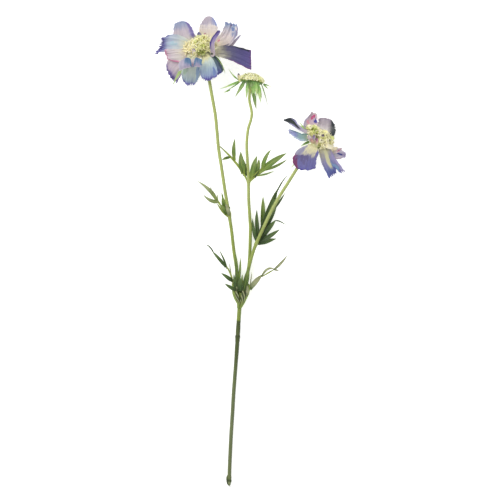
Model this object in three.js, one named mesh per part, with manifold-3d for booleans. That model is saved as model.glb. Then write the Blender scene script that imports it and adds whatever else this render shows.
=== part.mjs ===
// A cut stem of scabiosa, the pincushion flower, lying on a table: one branched stem with two open
// blooms, a button-shaped head in bud, and narrow-lobed leaves. Millimetres.
// +Y runs from the cut end to the blooms, +X to the right seen from above, +Z up from the table.
// Points are given from the table below the fork; the last lines move the plant to the bottom
// centre of its own box.
import * as THREE from "three";
import { mergeVertices } from "three/addons/utils/BufferGeometryUtils.js";
import Module from "manifold-3d";

const { clamp, degToRad, smoothstep } = THREE.MathUtils;
const wasm = await Module();
wasm.setup();

// ---------------------------------------------------------------- driving dimensions
const gap = 0.3; // left between neighbouring pieces
const petalThickness = 0.8;
const leafThickness = 0.8;
const leafEdge = 0.62; // thickness of a leaf or bract at its margin
const keeledFrom = 1.75; // half width from which a blade folds along its rib
const keelRise = 0.22; // how far such a blade's margins rise, as a share of its half width
const bluntTip = 0.12; // a blade's tip as a share of its half width
const lowestLeaf = 0.02; // height of the lowest leaf over the table
const lowestBract = 0.7; // height of the lowest bract's middle line over the table
const stemSides = 8;
const stemSteps = 19;
const ovalSides = 10;
const up = new THREE.Vector3(0, 0, 1);

const stemRadius = 1.9;
const mainStemPoints = [
  [-12.9, -204.5, 1.7], [-12.7, -188, 1.7], [-11.2, -154, 1.7], [-9.2, -121, 1.7], [-7.9, -99, 1.7],
  [-5.4, -66, 1.7], [-3.8, -42, 1.7], [-2.6, -22, 1.7], [-1.7, -9, 2.0], [-0.6, 1.5, 3.0],
];
const mainStemKnuckles = [{ at: 164, grow: 0.75, spread: 2.6 }, { at: 3, grow: 0.5, spread: 2 }];

const stalks = {
  left: {
    points: [
      [-1.4, 1, 2.9], [-2.6, 10, 3.4], [-4.7, 33, 5.2], [-8, 55, 7.2], [-10.5, 77, 9.6], [-14, 99, 12],
      [-17.7, 121, 14.5], [-21, 143, 17], [-24.4, 165, 18.2], [-26.5, 187, 19.2],
      [-28.2, 203.5, 19.8], [-32.1, 225.5, 20], [-35.4, 244, 20], [-38, 256.5, 20.4],
      [-41.4, 266, 22.4], [-43, 271.6, 25.6],
    ],
    radius: [1.65, 1.4],
    knuckles: [{ at: 95, grow: 0.8, spread: 3.2 }],
  },
  middle: {
    points: [
      [1.7, 1, 2.3], [3.2, 12, 2.7], [6.9, 27.5, 3.4], [9.3, 44, 4.2], [10.4, 77, 5.6], [9.9, 88, 6.2],
      [8.4, 110, 7.8], [8.2, 134, 9.6], [7.2, 148.5, 10.8], [6, 170.5, 12.4], [7.4, 187, 13.6],
      [10.1, 198, 14.4], [12.1, 205.7, 15], [11.2, 212.3, 15.5], [9.2, 220, 16], [9.6, 226, 16.8],
      [11.5, 238.6, 17.7],
    ],
    radius: [1.7, 1.0],
    knuckles: [{ at: 132, grow: 0.9, spread: 3 }, { at: 237, grow: 0.9, spread: 6 }],
  },
  right: {
    points: [
      [2.2, 2.5, 5.6], [3.6, 12, 6.2], [8.1, 33, 7.8], [12.1, 47.3, 9.2], [16.5, 60.5, 10.4],
      [21.1, 75, 12], [32.7, 96.7, 13.2], [40.4, 112.9, 13.8], [51.9, 128.4, 14],
      [62.3, 145.2, 14.2], [72, 160.4, 15.8], [80.8, 173.4, 20.2],
    ],
    radius: [1.55, 1.4],
    knuckles: [{ at: 62, grow: 0.5, spread: 3 }],
  },
};

// The fork's swelling and the leaf sheath round it: [y, centre x, centre z, half width, half height]
const forkRings = [
  [-12, -1.9, 1.75, 1.4, 1.3], [-6, -1.2, 2.3, 2.3, 2.1], [0, -0.2, 3.1, 3.3, 3.0],
  [5, 0.5, 3.9, 4.2, 3.6], [8.5, 0.9, 4.1, 3.9, 3.3],
];
const sheathRings = [
  [-7, -1.4, 2.7, 2.9, 2.6], [-2, -0.8, 3.5, 3.9, 3.4], [5, -0.2, 4.8, 6.2, 4.6],
  [11, -0.1, 5.6, 8.2, 5.4], [17, 0.4, 6.2, 9.4, 6.0],
];
const sheathWall = 0.9;
const sheathRipple = 1.3;

// ---------------------------------------------------------------- heads
// Each head has its own frame: e1 to the right and e2 away from the table's near side, both in the
// plane of the florets, and axis, the way the head faces.
const heads = {
  left: headFrame([-43.2, 274, 28], [-0.05, 0.7, 0.71]),
  right: headFrame([82.2, 175.3, 22.5], [0.43, 0.57, 0.7]),
  bud: headFrame([11.9, 241.5, 17.6], [0.13, 0.985, -0.05]),
};
const petalRing = { outer: 9.5, low: -0.8, high: 0.6, lower: -0.35, upper: 0.2, clearOfFlorets: 14 };
const florets = { sides: 5, reach: 2, sunk: 0.6, foot: 0.35, seatAt: 0.84, cover: 0.96 };
const goldenAngle = Math.PI * (3 - Math.sqrt(5));

// A petal runs through its points to tip, given from the head's centre along X, Y and Z. half is half
// its widest width, roll turns it about its own line in degrees and twist adds to that by the tip, fold
// is how far it rolls up across (0 flat), frill is the height of the waves at its margin, waves
// their number, and start is the phase of the first. azimuth is where it leaves the receptacle, in
// degrees round the head from e1. An upright petal is turned from the head's plane, not the table's.
const leftPetals = [
  { through: [[-16.8, 15.9, -10]], tip: [-24.5, 32.9, -28], half: 12,
    roll: 0, twist: -8, fold: 0.45, frill: 1.0, waves: 1.5, start: 0.4 },
  { through: [[6.9, 18.6, -12], [7.8, 30, -27.8]], tip: [8, 38.8, -28], half: 10.8,
    roll: 0, twist: 6, fold: 0.45, frill: 0.8, waves: 1.2, start: 1.2, square: 0.1 },
  { through: [[26.7, 13.7, -5]], tip: [35.5, 29.1, -18], half: 11,
    roll: -8, twist: -12, fold: 0.9, frill: 1.6, waves: 2.2, start: 0.2, square: 0.5 },
  { through: [[13, -4, 10.5], [11.1, 7.6, 15.4]], tip: [19.6, 21.4, 13.5], half: 4.6,
    roll: -50, twist: 36, fold: 1.2, frill: 0.8, waves: 1.5, start: 0.9, azimuth: -38 },
  { through: [[34.2, -3.4, 4]], tip: [54.4, -11, -1], half: 11.2,
    roll: -16, twist: -8, fold: 0.3, frill: 0.5, waves: 1.2, start: 2.2, square: 1 },
  { through: [[15.6, -13.5, 6]], tip: [22.2, -23.3, -2], half: 7,
    roll: 30, twist: 24, fold: 0.6, frill: 0.9, waves: 1.6, start: 0 },
  { through: [[8, -16, 11]], tip: [9.6, -30.5, 2.5], half: 12.5,
    roll: 4, twist: 2, fold: -0.5, frill: 1.5, waves: 2.4, start: 0.3, square: 0.5 },
  { through: [[-10.1, -21, 6]], tip: [-14, -39.1, -6], half: 12.5,
    roll: -6, twist: -4, fold: -0.4, frill: 1.6, waves: 2.4, start: 1.4, square: 0.5 },
  { through: [[-10.1, -7.8, 14]], tip: [-11.7, -15.5, 21], half: 11,
    roll: 0, twist: 4, fold: -0.3, frill: 2.2, waves: 1.8, start: 2.0, square: 0.6,
    azimuth: -124, upright: true },
  { through: [[-23.4, -16, 3]], tip: [-35.8, -23.7, -9], half: 11.5,
    roll: -12, twist: -8, fold: -0.4, frill: 1.4, waves: 2.2, start: 0.8, square: 0.5 },
  { through: [[-23.9, -3.4, 6]], tip: [-39.8, -2.8, 5], half: 9.5,
    roll: 6, twist: 14, fold: 0.35, frill: 1.5, waves: 2, start: 2.6, square: 0.5 },
  { through: [[-27, 6.6, -3]], tip: [-47.8, 7.6, -12], half: 12.5,
    roll: 4, twist: 8, fold: 0.45, frill: 1.9, waves: 2.6, start: 0.2, square: 0.6 },
];
const rightPetals = [
  { through: [[8.6, 13, -8], [11, 17.6, -22.2]], tip: [14, 23.8, -22.6], half: 13.5,
    roll: -2, twist: -12, fold: 0.4, frill: 1.3, waves: 2.2, start: 0.5, square: 0.8 },
  { through: [[-5.2, 17.8, -8]], tip: [-3.5, 30.6, -19], half: 9,
    roll: 8, twist: 22, fold: 0.7, frill: 1.0, waves: 1.6, start: 1.5, square: 0.2 },
  { through: [[-17.3, 15.6, -3]], tip: [-33.5, 23.6, -8], half: 5.4,
    roll: 26, twist: 18, fold: 1.0, frill: 0.7, waves: 1.4, start: 0.4 },
  { through: [[-16.8, 4.6, 3]], tip: [-30.4, 10.8, 0], half: 5.4,
    roll: -18, twist: -22, fold: 0.9, frill: 0.9, waves: 2, start: 1.1 },
  { through: [[-9, -17.6, 7]], tip: [-12.6, -32.8, -1], half: 13,
    roll: -6, twist: -6, fold: -0.5, frill: 1.2, waves: 2, start: 0.3, square: 0.7 },
  { through: [[11.6, -19.2, 2]], tip: [24, -36, -6], half: 9.5,
    roll: 8, twist: 12, fold: 0.5, frill: 1.6, waves: 2.4, start: 0.9, square: 0.8 },
  { through: [[20.1, -13.4, -3]], tip: [33, -15.6, -9], half: 7,
    roll: 14, twist: 20, fold: 0.8, frill: 1.2, waves: 2, start: 2.1, square: 0.4 },
  { through: [[15.6, -8.9, 0.6]], tip: [25.5, -7.2, -4], half: 4,
    roll: 0, twist: 8, fold: 0.6, frill: 0.6, waves: 1.6, start: 0.6 },
];
const budPetal = { half: 2.2, roll: 20, twist: 0, fold: 0.9, frill: 0, waves: 1, start: 0, narrow: 0.5 };
const budPetalPoints = [[-13.2, -2.4, 4.6], [-14.6, 2.6, 5.4], [-15.4, 8.0, 5.6]];

// Florets over domes: the left bloom's one, the right bloom's two side by side, and the bud's button.
const openCushion = {
  centre: [-1, 0], low: 1, undercut: 2.2, radius: 13, height: 6, count: 32, floret: 1.95,
};
const clumps = [-7.8, 7.8].map((x) => ({
  centre: [x, -1.5], low: 1, undercut: 2.2, radius: 9.8, height: 7, count: 17, floret: 2.4,
}));
const budCushion = { low: -0.5, undercut: 1, radius: 12.6, height: 4.4, count: 34, floret: 1.65 };

// The green cup under each head, which its bracts grow from.
const openCup = { radius: 7, foot: 2.2, low: -5.4, high: -1.2, lip: 1.4 };
const budCup = { radius: 12.4, foot: 2.2, low: -4.2, high: -0.9, lip: 1.4 };

// Bracts behind each head: azimuth round the head in degrees, length, half width, how far they lean
// back from the florets' plane in degrees, and how much they droop further by the tip.
const leftBracts = [
  [14, 22, 1.6, 40, 16], [52, 20, 1.5, 44, 10], [96, 21, 1.6, 40, 6], [133, 22, 1.6, 34, 10],
  [171, 21, 1.6, 34, 12], [196, 20, 1.5, 44, 10], [215, 44, 2.1, 44, -2], [246, 20, 1.5, 52, 10],
  [282, 20, 1.5, 58, 10], [324, 30, 1.9, 36, 10],
];
const rightBracts = [
  [20, 20, 1.5, 42, 8], [64, 18, 1.5, 38, 8], [104, 20, 1.5, 40, 10], [146, 28, 1.6, 20, 4],
  [184, 22, 1.6, 34, 12], [222, 13, 1.5, 50, 10], [262, 37, 1.9, 56, -4], [306, 20, 1.5, 50, 10],
  [344, 20, 1.5, 44, 10],
];
const budBracts = [
  [176, 24, 1.3, 24, 4], [166, 16, 1.0, -12, -48], [150, 20, 1.2, 40, 14], [137, 21, 2.3, 62, 8],
  [108, 19, 2.0, 84, 2], [70, 28, 2.5, 90, 0], [48, 20, 2.1, 80, 2], [32, 22, 1.2, 60, 10],
  [12, 12, 1.1, 26, 4], [-8, 12, 1.0, 36, 6], [214, 22, 1.3, 46, 12], [242, 18, 1.8, 68, 8],
  [272, 20, 2.0, 80, 4], [300, 19, 1.8, 72, 8], [330, 17, 1.4, 56, 10],
];

// ---------------------------------------------------------------- leaves
// Each leaf is a list of blades, and each blade is [from, via, to, half width at its widest]. The
// first blade is the rib with the end lobe; the others grow off it.
const leaves = {
  leaf_fork_left: [
    [[-7.4, 14, 6.2], [-19.2, 39.5, 12], [-38.4, 60.3, 9], 2.2],
    [[-14.8, 33, 10.6], [-20.5, 46, 12.6], [-23.6, 54.9, 12], 1.2],
    [[-8.9, 19.5, 8], [-10.8, 31, 11], [-12.5, 41.4, 12], 0.8],
    [[-8.2, 18.4, 8], [-14.5, 24.8, 10.8], [-21.5, 28.4, 10], 2.4],
    [[-6.8, 12.6, 8], [-12, 14.7, 11.4], [-18, 18.3, 12], 2.0],
  ],
  leaf_fork_right: [
    [[7.8, 15, 7], [27, 29.4, 12], [51.2, 49.1, 10], 1.7],
    [[11, 18.4, 8.8], [18.5, 25, 12], [25.6, 27.6, 12.3], 2.8],
    [[24, 28, 12.1], [32.5, 34.2, 14.6], [42, 32.8, 13], 1.7],
    [[8.4, 16, 7.6], [10, 24, 10], [11.6, 32, 11], 0.8],
  ],
  leaf_fork_upright: [
    [[0.8, 10, 10.4], [0.2, 25, 12], [-0.8, 45.4, 11.4], 2.0],
    [[0, 10.6, 10.4], [-3.4, 29, 12], [-5.8, 53.8, 12.8], 1.9],
    [[1.4, 10.6, 10.6], [7.4, 21, 13], [11.6, 36, 13.4], 2.5],
    [[0.8, 10.2, 10.6], [3.2, 19.4, 12.4], [4.4, 27.5, 12.8], 2.5],
    [[-0.6, 11, 10.3], [-4.4, 17.6, 12.2], [-7, 28.5, 12.6], 2.1],
  ],
  leaf_left_outer: [
    [[-13.4, 92.6, 11.4], [-30, 113, 17], [-47.7, 130.8, 13.5], 2.0],
    [[-14.2, 94.6, 12.4], [-19, 99.6, 14.2], [-24.6, 107.6, 15.6], 2.2],
    [[-25.6, 108, 15.8], [-32.6, 110.6, 16.4], [-41.1, 115.4, 13.5], 2.1],
    [[-24.4, 106.4, 15.6], [-25.8, 112, 17.3], [-27, 118, 17.5], 0.8],
    [[-29.6, 112.4, 16.7], [-31.4, 119, 18.2], [-34, 125, 18], 0.7],
  ],
  leaf_left_inner: [
    [[-14, 95, 10.6], [-18.6, 106.4, 9.2], [-21.8, 118.5, 8.2], 2.3],
    [[-14.4, 96.6, 10.2], [-12.6, 102.6, 9], [-11.6, 108, 8], 1.3],
    [[-15.6, 99, 9.9], [-16, 107, 8.6], [-17.2, 114, 7.6], 1.5],
  ],
  leaf_middle_left: [
    [[8.6, 131.4, 9.6], [-4.6, 148.4, 12.6], [-28.2, 173.9, 9], 1.2],
    [[-7.4, 152.4, 12.6], [-9, 163, 13.6], [-7.2, 176, 12.6], 2.0],
    [[-11.8, 157.2, 12.4], [-16.5, 157, 12], [-20.2, 154.2, 10.5], 1.5],
    [[-0.6, 143.4, 12], [-2, 152, 13.5], [-0.4, 161.8, 13], 2.7],
    [[2.2, 139.8, 11.4], [2.6, 146, 12.4], [1.8, 153, 12], 1.7],
    [[4.4, 137, 10.9], [5.2, 142, 8], [5.2, 150, 7], 1.4],
  ],
  leaf_middle_right: [
    [[8.6, 131, 9.8], [25.6, 146.4, 14.4], [49.7, 161.3, 11.5], 3.0],
    [[21.4, 143, 13.5], [26, 154, 15.5], [32.6, 164.8, 14.5], 2.2],
    [[27, 147, 14.2], [39, 148.6, 14.5], [51.2, 154.2, 11.5], 1.4],
    [[16.6, 138.4, 12.2], [26.4, 138.2, 13], [35.6, 141.2, 11.5], 0.9],
    [[16, 138.6, 12.2], [18, 147, 14], [19.6, 154.2, 13.5], 1.9],
    [[10.6, 133.6, 10.5], [13.6, 146.6, 13], [17.1, 157.7, 12.4], 2.5],
  ],
  leaf_right_broad: [
    [[16.9, 61.2, 9.2], [28.8, 87, 5.8], [45.7, 126.5, 7.5], 3.2],
    [[19, 67, 7.6], [15.2, 79, 6.4], [12.9, 89.4, 4], 1.7],
    [[20.2, 70, 7.2], [18.6, 84, 6.6], [17.4, 99, 4.6], 2.3],
    [[24, 78, 6.4], [23.4, 94, 5.6], [24, 112.3, 3.6], 2.5],
    [[27.6, 84, 6], [36.6, 96, 6], [48.3, 116.8, 5], 2.7],
    [[23.4, 75, 6.6], [34, 84.4, 7.2], [49.3, 83, 8.5], 2.0],
    [[20.6, 68, 7.4], [31, 71, 8], [41.9, 77, 6], 2.4],
    [[18.6, 63.6, 8], [29, 64.8, 6.6], [38, 66.9, 4], 2.4],
  ],
};

// ---------------------------------------------------------------- colours
const finishes = {
  mainStem: { color: 0x67764a, roughness: 0.6 },
  stalk: { color: 0x9cad5c, roughness: 0.55 },
  sheath: { color: 0xa3ad78, roughness: 0.6 },
  leaf: { color: 0x6d9450, roughness: 0.6 },
  darkLeaf: { color: 0x43613a, roughness: 0.6 },
  bract: { color: 0x7fae62, roughness: 0.6 },
  petal: { color: 0x9c9cc4, roughness: 0.7 },
  floret: { color: 0xd6d79a, roughness: 0.7 },
};

// ---------------------------------------------------------------- shared shapes
function vector([x, y, z]) {
  return new THREE.Vector3(x, y, z);
}

function headFrame(centre, facing) {
  const axis = vector(facing).normalize();
  const e1 = new THREE.Vector3().crossVectors(axis, up).normalize();
  const e2 = new THREE.Vector3().crossVectors(axis, e1);
  return { centre: vector(centre), axis, e1, e2 };
}

// A point of a head's own frame in the plant's frame.
function inHead({ centre, axis, e1, e2 }, x, y, z) {
  return centre.clone().addScaledVector(e1, x).addScaledVector(e2, y).addScaledVector(axis, z);
}

// Side and normal of a section square to a line, level when roll is 0, turned about it by roll radians.
function sectionAxes(tangent, roll = 0, upward = up) {
  const flatSide = new THREE.Vector3().crossVectors(upward, tangent).normalize();
  const flatNormal = new THREE.Vector3().crossVectors(tangent, flatSide);
  const side = flatSide.clone().multiplyScalar(Math.cos(roll)).addScaledVector(flatNormal, Math.sin(roll));
  const normal = new THREE.Vector3().crossVectors(tangent, side);
  return { side, normal };
}

// The curve through three points, met at 0, 1/2 and 1.
function throughThree(start, mid, end, t) {
  return start.clone().multiplyScalar((1 - t) * (1 - 2 * t))
    .addScaledVector(mid, 4 * t * (1 - t))
    .addScaledVector(end, t * (2 * t - 1));
}

function slopeOfThree(start, mid, end, t) {
  return start.clone().multiplyScalar(4 * t - 3)
    .addScaledVector(mid, 4 - 8 * t)
    .addScaledVector(end, 4 * t - 1).normalize();
}

function smoothLine(points) {
  return new THREE.CatmullRomCurve3(points, false, "catmullrom", 0.5);
}

// Nothing lies lower than the table.
function aboveTable(point, height = 0) {
  point.z = Math.max(point.z, height);
  return point;
}

// A closed skin over rings of points that each run anticlockwise seen from the far end.
function loft(rings) {
  const sides = rings[0].length;
  const end = (rings.length - 1) * sides;
  const index = [];
  for (let i = 0; i < rings.length - 1; i++) {
    for (let j = 0; j < sides; j++) {
      const k = (j + 1) % sides;
      const [a, b, c, d] = [i * sides + j, i * sides + k, (i + 1) * sides + k, (i + 1) * sides + j];
      index.push(a, b, c, a, c, d);
    }
  }
  for (let j = 1; j < sides - 1; j++) index.push(0, j + 1, j, end, end + j, end + j + 1);
  return skin(rings.flat(), index);
}

function skin(points, index) {
  const geometry = new THREE.BufferGeometry().setFromPoints(points);
  geometry.setIndex(index);
  return geometry;
}

// How far a knuckle swells a stem at a distance along it.
function bulge({ at, grow, spread }, distance) {
  return grow * Math.exp(-(((distance - at) / spread) ** 2));
}

// A round stem along a smooth line, with swellings where it has knuckles.
function stem(points, [startRadius, endRadius], knuckles, steps, grow = 0) {
  const line = smoothLine(points.map(vector));
  const length = line.getLength();
  const rings = [];
  for (let i = 0; i <= steps; i++) {
    const t = i / steps;
    const overrun = i === 0 ? -grow : i === steps ? grow : 0;
    const tangent = line.getTangentAt(t);
    const centre = line.getPointAt(t).addScaledVector(tangent, overrun);
    const swell = knuckles.reduce((sum, knuckle) => sum + bulge(knuckle, t * length), 0);
    const radius = startRadius + (endRadius - startRadius) * t + swell + grow;
    const { side, normal } = sectionAxes(tangent);
    rings.push(ringOf(centre, side, normal, radius, radius, stemSides));
  }
  return loft(rings);
}

// One face of the ring points straight down, so that a stem can lie on it.
function ringOf(centre, side, normal, halfWidth, halfHeight, sides) {
  return Array.from({ length: sides }, (_, j) => {
    const angle = ((j + 0.5) / sides) * 2 * Math.PI;
    const point = centre.clone()
      .addScaledVector(side, halfWidth * Math.cos(angle))
      .addScaledVector(normal, halfHeight * Math.sin(angle));
    return aboveTable(point);
  });
}

// An upright oval body along Y from rings of [y, centre x, centre z, half width, half height].
function ovalBody(rings, grow = 0, ripple = 0) {
  const side = new THREE.Vector3(-1, 0, 0);
  const last = rings.length - 1;
  return loft(rings.map(([y, x, z, halfWidth, halfHeight], i) => {
    const overrun = i === 0 ? -Math.abs(grow) : i === last ? Math.abs(grow) : 0;
    const centre = new THREE.Vector3(x, y + overrun, z);
    const ring = ringOf(centre, side, up, halfWidth + grow, halfHeight + grow, ovalSides);
    if (i === last) ring.forEach((point, j) => point.setY(point.y + ripple * Math.sin(j * 2.1 + 0.6)));
    return ring;
  }));
}

// Share of a petal's full width at t along it: a claw, then a broad rounded blade.
function petalWidth(t, { narrow = 0.4, square = 0.3 }) {
  const claw = narrow + (1 - narrow) * smoothstep(t, 0, 0.55);
  return claw * Math.sqrt(Math.max(0, 1 - (Math.max(0, t - 0.6) / 0.45) ** 2 * (1 - 0.8 * square)));
}

// A petal leaves the receptacle's rim level, passes under the florets and then runs to its tip.
function petalLine({ through, tip, azimuth }, { centre, axis, e1, e2 }, lift) {
  const first = vector(through[0]);
  const angle = azimuth === undefined ? Math.atan2(first.dot(e2), first.dot(e1)) : degToRad(azimuth);
  const outward = e1.clone().multiplyScalar(Math.cos(angle)).addScaledVector(e2, Math.sin(angle));
  const claw = [petalRing.outer - 1, petalRing.clearOfFlorets].map((reach) =>
    centre.clone().addScaledVector(outward, reach).addScaledVector(axis, lift));
  const blade = [...through, tip].map((point) => centre.clone().add(vector(point)));
  return smoothLine([...claw, ...blade]);
}

// Where a petal's mid surface lies: u runs from its root to its tip and v from -1 to 1 across.
function petalPoint(petal, line, head, u, v) {
  const lobes = 0.025 * Math.max(0, u) ** 6 * (1 - Math.cos(3 * Math.PI * v));
  const along = clamp(u * (1 - 0.12 * v * v * u - lobes), 0, 1);
  const roll = degToRad(petal.roll + petal.twist * u);
  const { side, normal } = sectionAxes(line.getTangentAt(along), roll, petal.upright ? head.axis : up);
  const reach = petal.half * petalWidth(u, petal);
  const bend = petal.fold * v;
  const across = Math.abs(petal.fold) < 0.01 ? v : Math.sin(bend) / petal.fold;
  const lift = Math.abs(petal.fold) < 0.01 ? 0 : (1 - Math.cos(bend)) / petal.fold;
  const wave = petal.frill * Math.max(0, u) ** 2.5 * (0.45 + 0.55 * v * v)
    * Math.sin(petal.waves * v * Math.PI + petal.start * 2);
  const place = line.getPointAt(along)
    .addScaledVector(side, reach * across)
    .addScaledVector(normal, reach * lift + wave);
  return aboveTable(place, petalThickness / 2);
}

// A waved petal with its thickness, its triangles split alike on both faces.
function petalBlade(petal, line, head, columns = 6, rows = 5) {
  const over = [];
  const under = [];
  const onPetal = (u, v) => petalPoint(petal, line, head, u, v);
  for (let i = 0; i <= rows; i++) {
    for (let j = 0; j <= columns; j++) {
      const [u, v] = [i / rows, (2 * j) / columns - 1];
      const alongU = onPetal(u + 0.01, v).sub(onPetal(u - 0.01, v));
      const alongV = onPetal(u, v + 0.02).sub(onPetal(u, v - 0.02));
      const normal = alongU.cross(alongV).normalize();
      over.push(aboveTable(onPetal(u, v).addScaledVector(normal, petalThickness / 2)));
      under.push(aboveTable(onPetal(u, v).addScaledVector(normal, -petalThickness / 2)));
    }
  }
  const n = over.length;
  const at = (i, j) => i * (columns + 1) + j;
  const index = [];
  for (let i = 0; i < rows; i++) {
    for (let j = 0; j < columns; j++) {
      const [a, b, c, d] = [at(i, j), at(i + 1, j), at(i + 1, j + 1), at(i, j + 1)];
      index.push(a, b, c, a, c, d, n + a, n + c, n + b, n + a, n + d, n + c);
    }
  }
  const count = (length, place) => Array.from({ length }, (_, i) => place(i));
  const margin = [
    ...count(columns, (j) => at(0, j)), ...count(rows, (i) => at(i, columns)),
    ...count(columns, (j) => at(rows, columns - j)), ...count(rows, (i) => at(rows - i, 0)),
  ];
  margin.forEach((a, i) => {
    const b = margin[(i + 1) % margin.length];
    index.push(a, b, n + b, a, n + b, n + a);
  });
  return skin([...over, ...under], index);
}

// A pointed blade with a keel, for a leaf lobe or a bract, between two ends and through via.
function pointedBlade(start, via, end, half, steps, share, grow = 0) {
  const keeled = half > keeledFrom;
  const rings = [];
  for (let i = 0; i <= steps; i++) {
    const t = i / steps;
    const tangent = slopeOfThree(start, via, end, t);
    const overrun = i === 0 ? -grow : i === steps ? grow : 0;
    const centre = throughThree(start, via, end, t).addScaledVector(tangent, overrun);
    const { side, normal } = sectionAxes(tangent);
    const width = half * Math.max(bluntTip, share(t)) + grow;
    const keel = keeled ? keelRise * width : 0;
    const edge = leafEdge / 2 + grow;
    const rib = leafThickness / 2 + grow;
    const corner = (x, z) =>
      aboveTable(centre.clone().addScaledVector(side, x).addScaledVector(normal, z), lowestLeaf);
    const right = [corner(width, keel - edge), corner(width, keel + edge)];
    const left = [corner(-width, keel + edge), corner(-width, keel - edge)];
    const [ridge, groove] = keeled ? [[corner(0, rib)], [corner(0, -rib)]] : [[], []];
    rings.push([...right, ...ridge, ...left, ...groove]);
  }
  return loft(rings);
}

// Share of the full width at t along a lobe, a rib with its end lobe, and a bract.
const lobeWidth = (t) => (0.34 + 0.66 * smoothstep(t, 0, 0.4)) * (1 - smoothstep(t, 0.38, 1.06));
const ribWidth = (t) => (0.45 + 0.55 * smoothstep(t, 0.35, 0.68)) * (1 - smoothstep(t, 0.62, 1.05));
const bractWidth = (t) => (0.6 + 0.4 * smoothstep(t, 0, 0.4)) * (1 - smoothstep(t, 0.35, 1.08));

// ---------------------------------------------------------------- joining and cutting
function solid(geometry) {
  const merged = mergeVertices(geometry, 1e-4);
  return new wasm.Manifold(new wasm.Mesh({
    numProp: 3,
    vertProperties: new Float32Array(merged.attributes.position.array),
    triVerts: new Uint32Array(merged.index.array),
  }));
}

function fuse(geometries) {
  return geometries.map(solid).reduce((sum, piece) => sum.add(piece));
}

function cut(body, tools) {
  return tools.reduce((left, tool) => left.subtract(tool), body);
}

// The largest body of what a cut leaves, as a named mesh.
function mesh(name, body, finish) {
  const largest = body.decompose().reduce((best, part) => (part.volume() > best.volume() ? part : best));
  const { vertProperties, triVerts, numProp, numVert } = largest.getMesh();
  const positions = new Float32Array(numVert * 3);
  for (let i = 0; i < numVert; i++) {
    positions.set(vertProperties.subarray(i * numProp, i * numProp + 3), i * 3);
  }
  const geometry = new THREE.BufferGeometry();
  geometry.setAttribute("position", new THREE.BufferAttribute(positions, 3));
  geometry.setIndex(new THREE.BufferAttribute(new Uint32Array(triVerts), 1));
  geometry.computeVertexNormals();
  const made = new THREE.Mesh(geometry, new THREE.MeshStandardMaterial({ ...finish, metalness: 0 }));
  made.name = name;
  return made;
}

// ---------------------------------------------------------------- stem, fork and stalks
function stalkGeometry({ points, radius, knuckles }, grow = 0) {
  return stem(points, radius, knuckles, stemSteps, grow);
}

function mainStemGeometry(grow = 0) {
  return stem(mainStemPoints, [stemRadius, stemRadius], mainStemKnuckles, stemSteps, grow);
}

const grownStalks = Object.values(stalks).map((stalk) => solid(stalkGeometry(stalk, gap)));
const grownMainStem = fuse([mainStemGeometry(gap), ovalBody(forkRings, gap)]);
const grownSheath = solid(ovalBody(sheathRings, gap, sheathRipple));

// The slit down the sheath's upper side.
function slit() {
  const [floor, top] = [6.2, 16];
  const ring = (y, left, right) => [[left, top], [right, top], [right, floor], [left, floor]]
    .map(([x, z]) => new THREE.Vector3(x, y, z));
  return solid(loft([ring(2, 0.6, 1.2), ring(11, -0.4, 3), ring(22, -1.4, 5.6)]));
}

function buildStems() {
  const main = cut(fuse([mainStemGeometry(), ovalBody(forkRings)]), grownStalks);
  const outside = solid(ovalBody(sheathRings, 0, sheathRipple));
  const inside = solid(ovalBody(sheathRings, -sheathWall, sheathRipple));
  const shell = cut(outside, [inside, slit()]);
  return [
    mesh("main_stem", main, finishes.mainStem),
    ...Object.entries(stalks).map(([name, stalk]) =>
      mesh("stalk_" + name, solid(stalkGeometry(stalk)), finishes.stalk)),
    mesh("fork_sheath", cut(shell, [grownMainStem, ...grownStalks]), finishes.sheath),
  ];
}

// ---------------------------------------------------------------- leaves
const darkLeaves = ["leaf_fork_left", "leaf_fork_upright", "leaf_right_broad"];

// The first blade of a leaf is its rib; a keeled lobe bends in more steps than a flat one.
function leafBlade([from, via, to, half], i) {
  const isRib = i === 0;
  const lobeSteps = half > keeledFrom ? 4 : 3;
  const share = isRib ? ribWidth : lobeWidth;
  return pointedBlade(vector(from), vector(via), vector(to), half, isRib ? 6 : lobeSteps, share);
}

function buildLeaves() {
  const carriers = [grownMainStem, grownSheath, ...grownStalks];
  return Object.entries(leaves).map(([name, blades]) => {
    const finish = darkLeaves.includes(name) ? finishes.darkLeaf : finishes.leaf;
    return mesh(name, cut(fuse(blades.map(leafBlade)), carriers), finish);
  });
}

// ---------------------------------------------------------------- heads
// A turned body in a head's frame, from [distance from the axis, height along it] pairs.
function turned(head, [x, y], profile, sides = 10) {
  const lathe = new THREE.LatheGeometry(profile.map(([r, z]) => new THREE.Vector2(r, z)), sides);
  const basis = new THREE.Matrix4().makeBasis(head.e1, head.axis, head.e2.clone().negate());
  lathe.applyMatrix4(basis.setPosition(inHead(head, x, y, 0)));
  lathe.deleteAttribute("normal");
  lathe.deleteAttribute("uv");
  return lathe;
}

function bractBlade(head, [azimuth, length, half, lean, droop], foot, grow = 0) {
  const turn = degToRad(azimuth);
  const place = (reach, height) =>
    aboveTable(inHead(head, reach * Math.cos(turn), reach * Math.sin(turn), height), lowestBract);
  const [lower, upper] = [lean, lean + droop].map(degToRad);
  const bend = { reach: length / 2 * Math.cos(lower), drop: length / 2 * Math.sin(lower) };
  const far = {
    reach: bend.reach + length / 2 * Math.cos(upper),
    drop: bend.drop + length / 2 * Math.sin(upper),
  };
  const start = place(foot.reach, foot.height);
  const via = place(foot.reach + bend.reach, foot.height - bend.drop);
  const end = place(foot.reach + far.reach, foot.height - far.drop);
  return pointedBlade(start, via, end, half, 3, bractWidth, grow);
}

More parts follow.
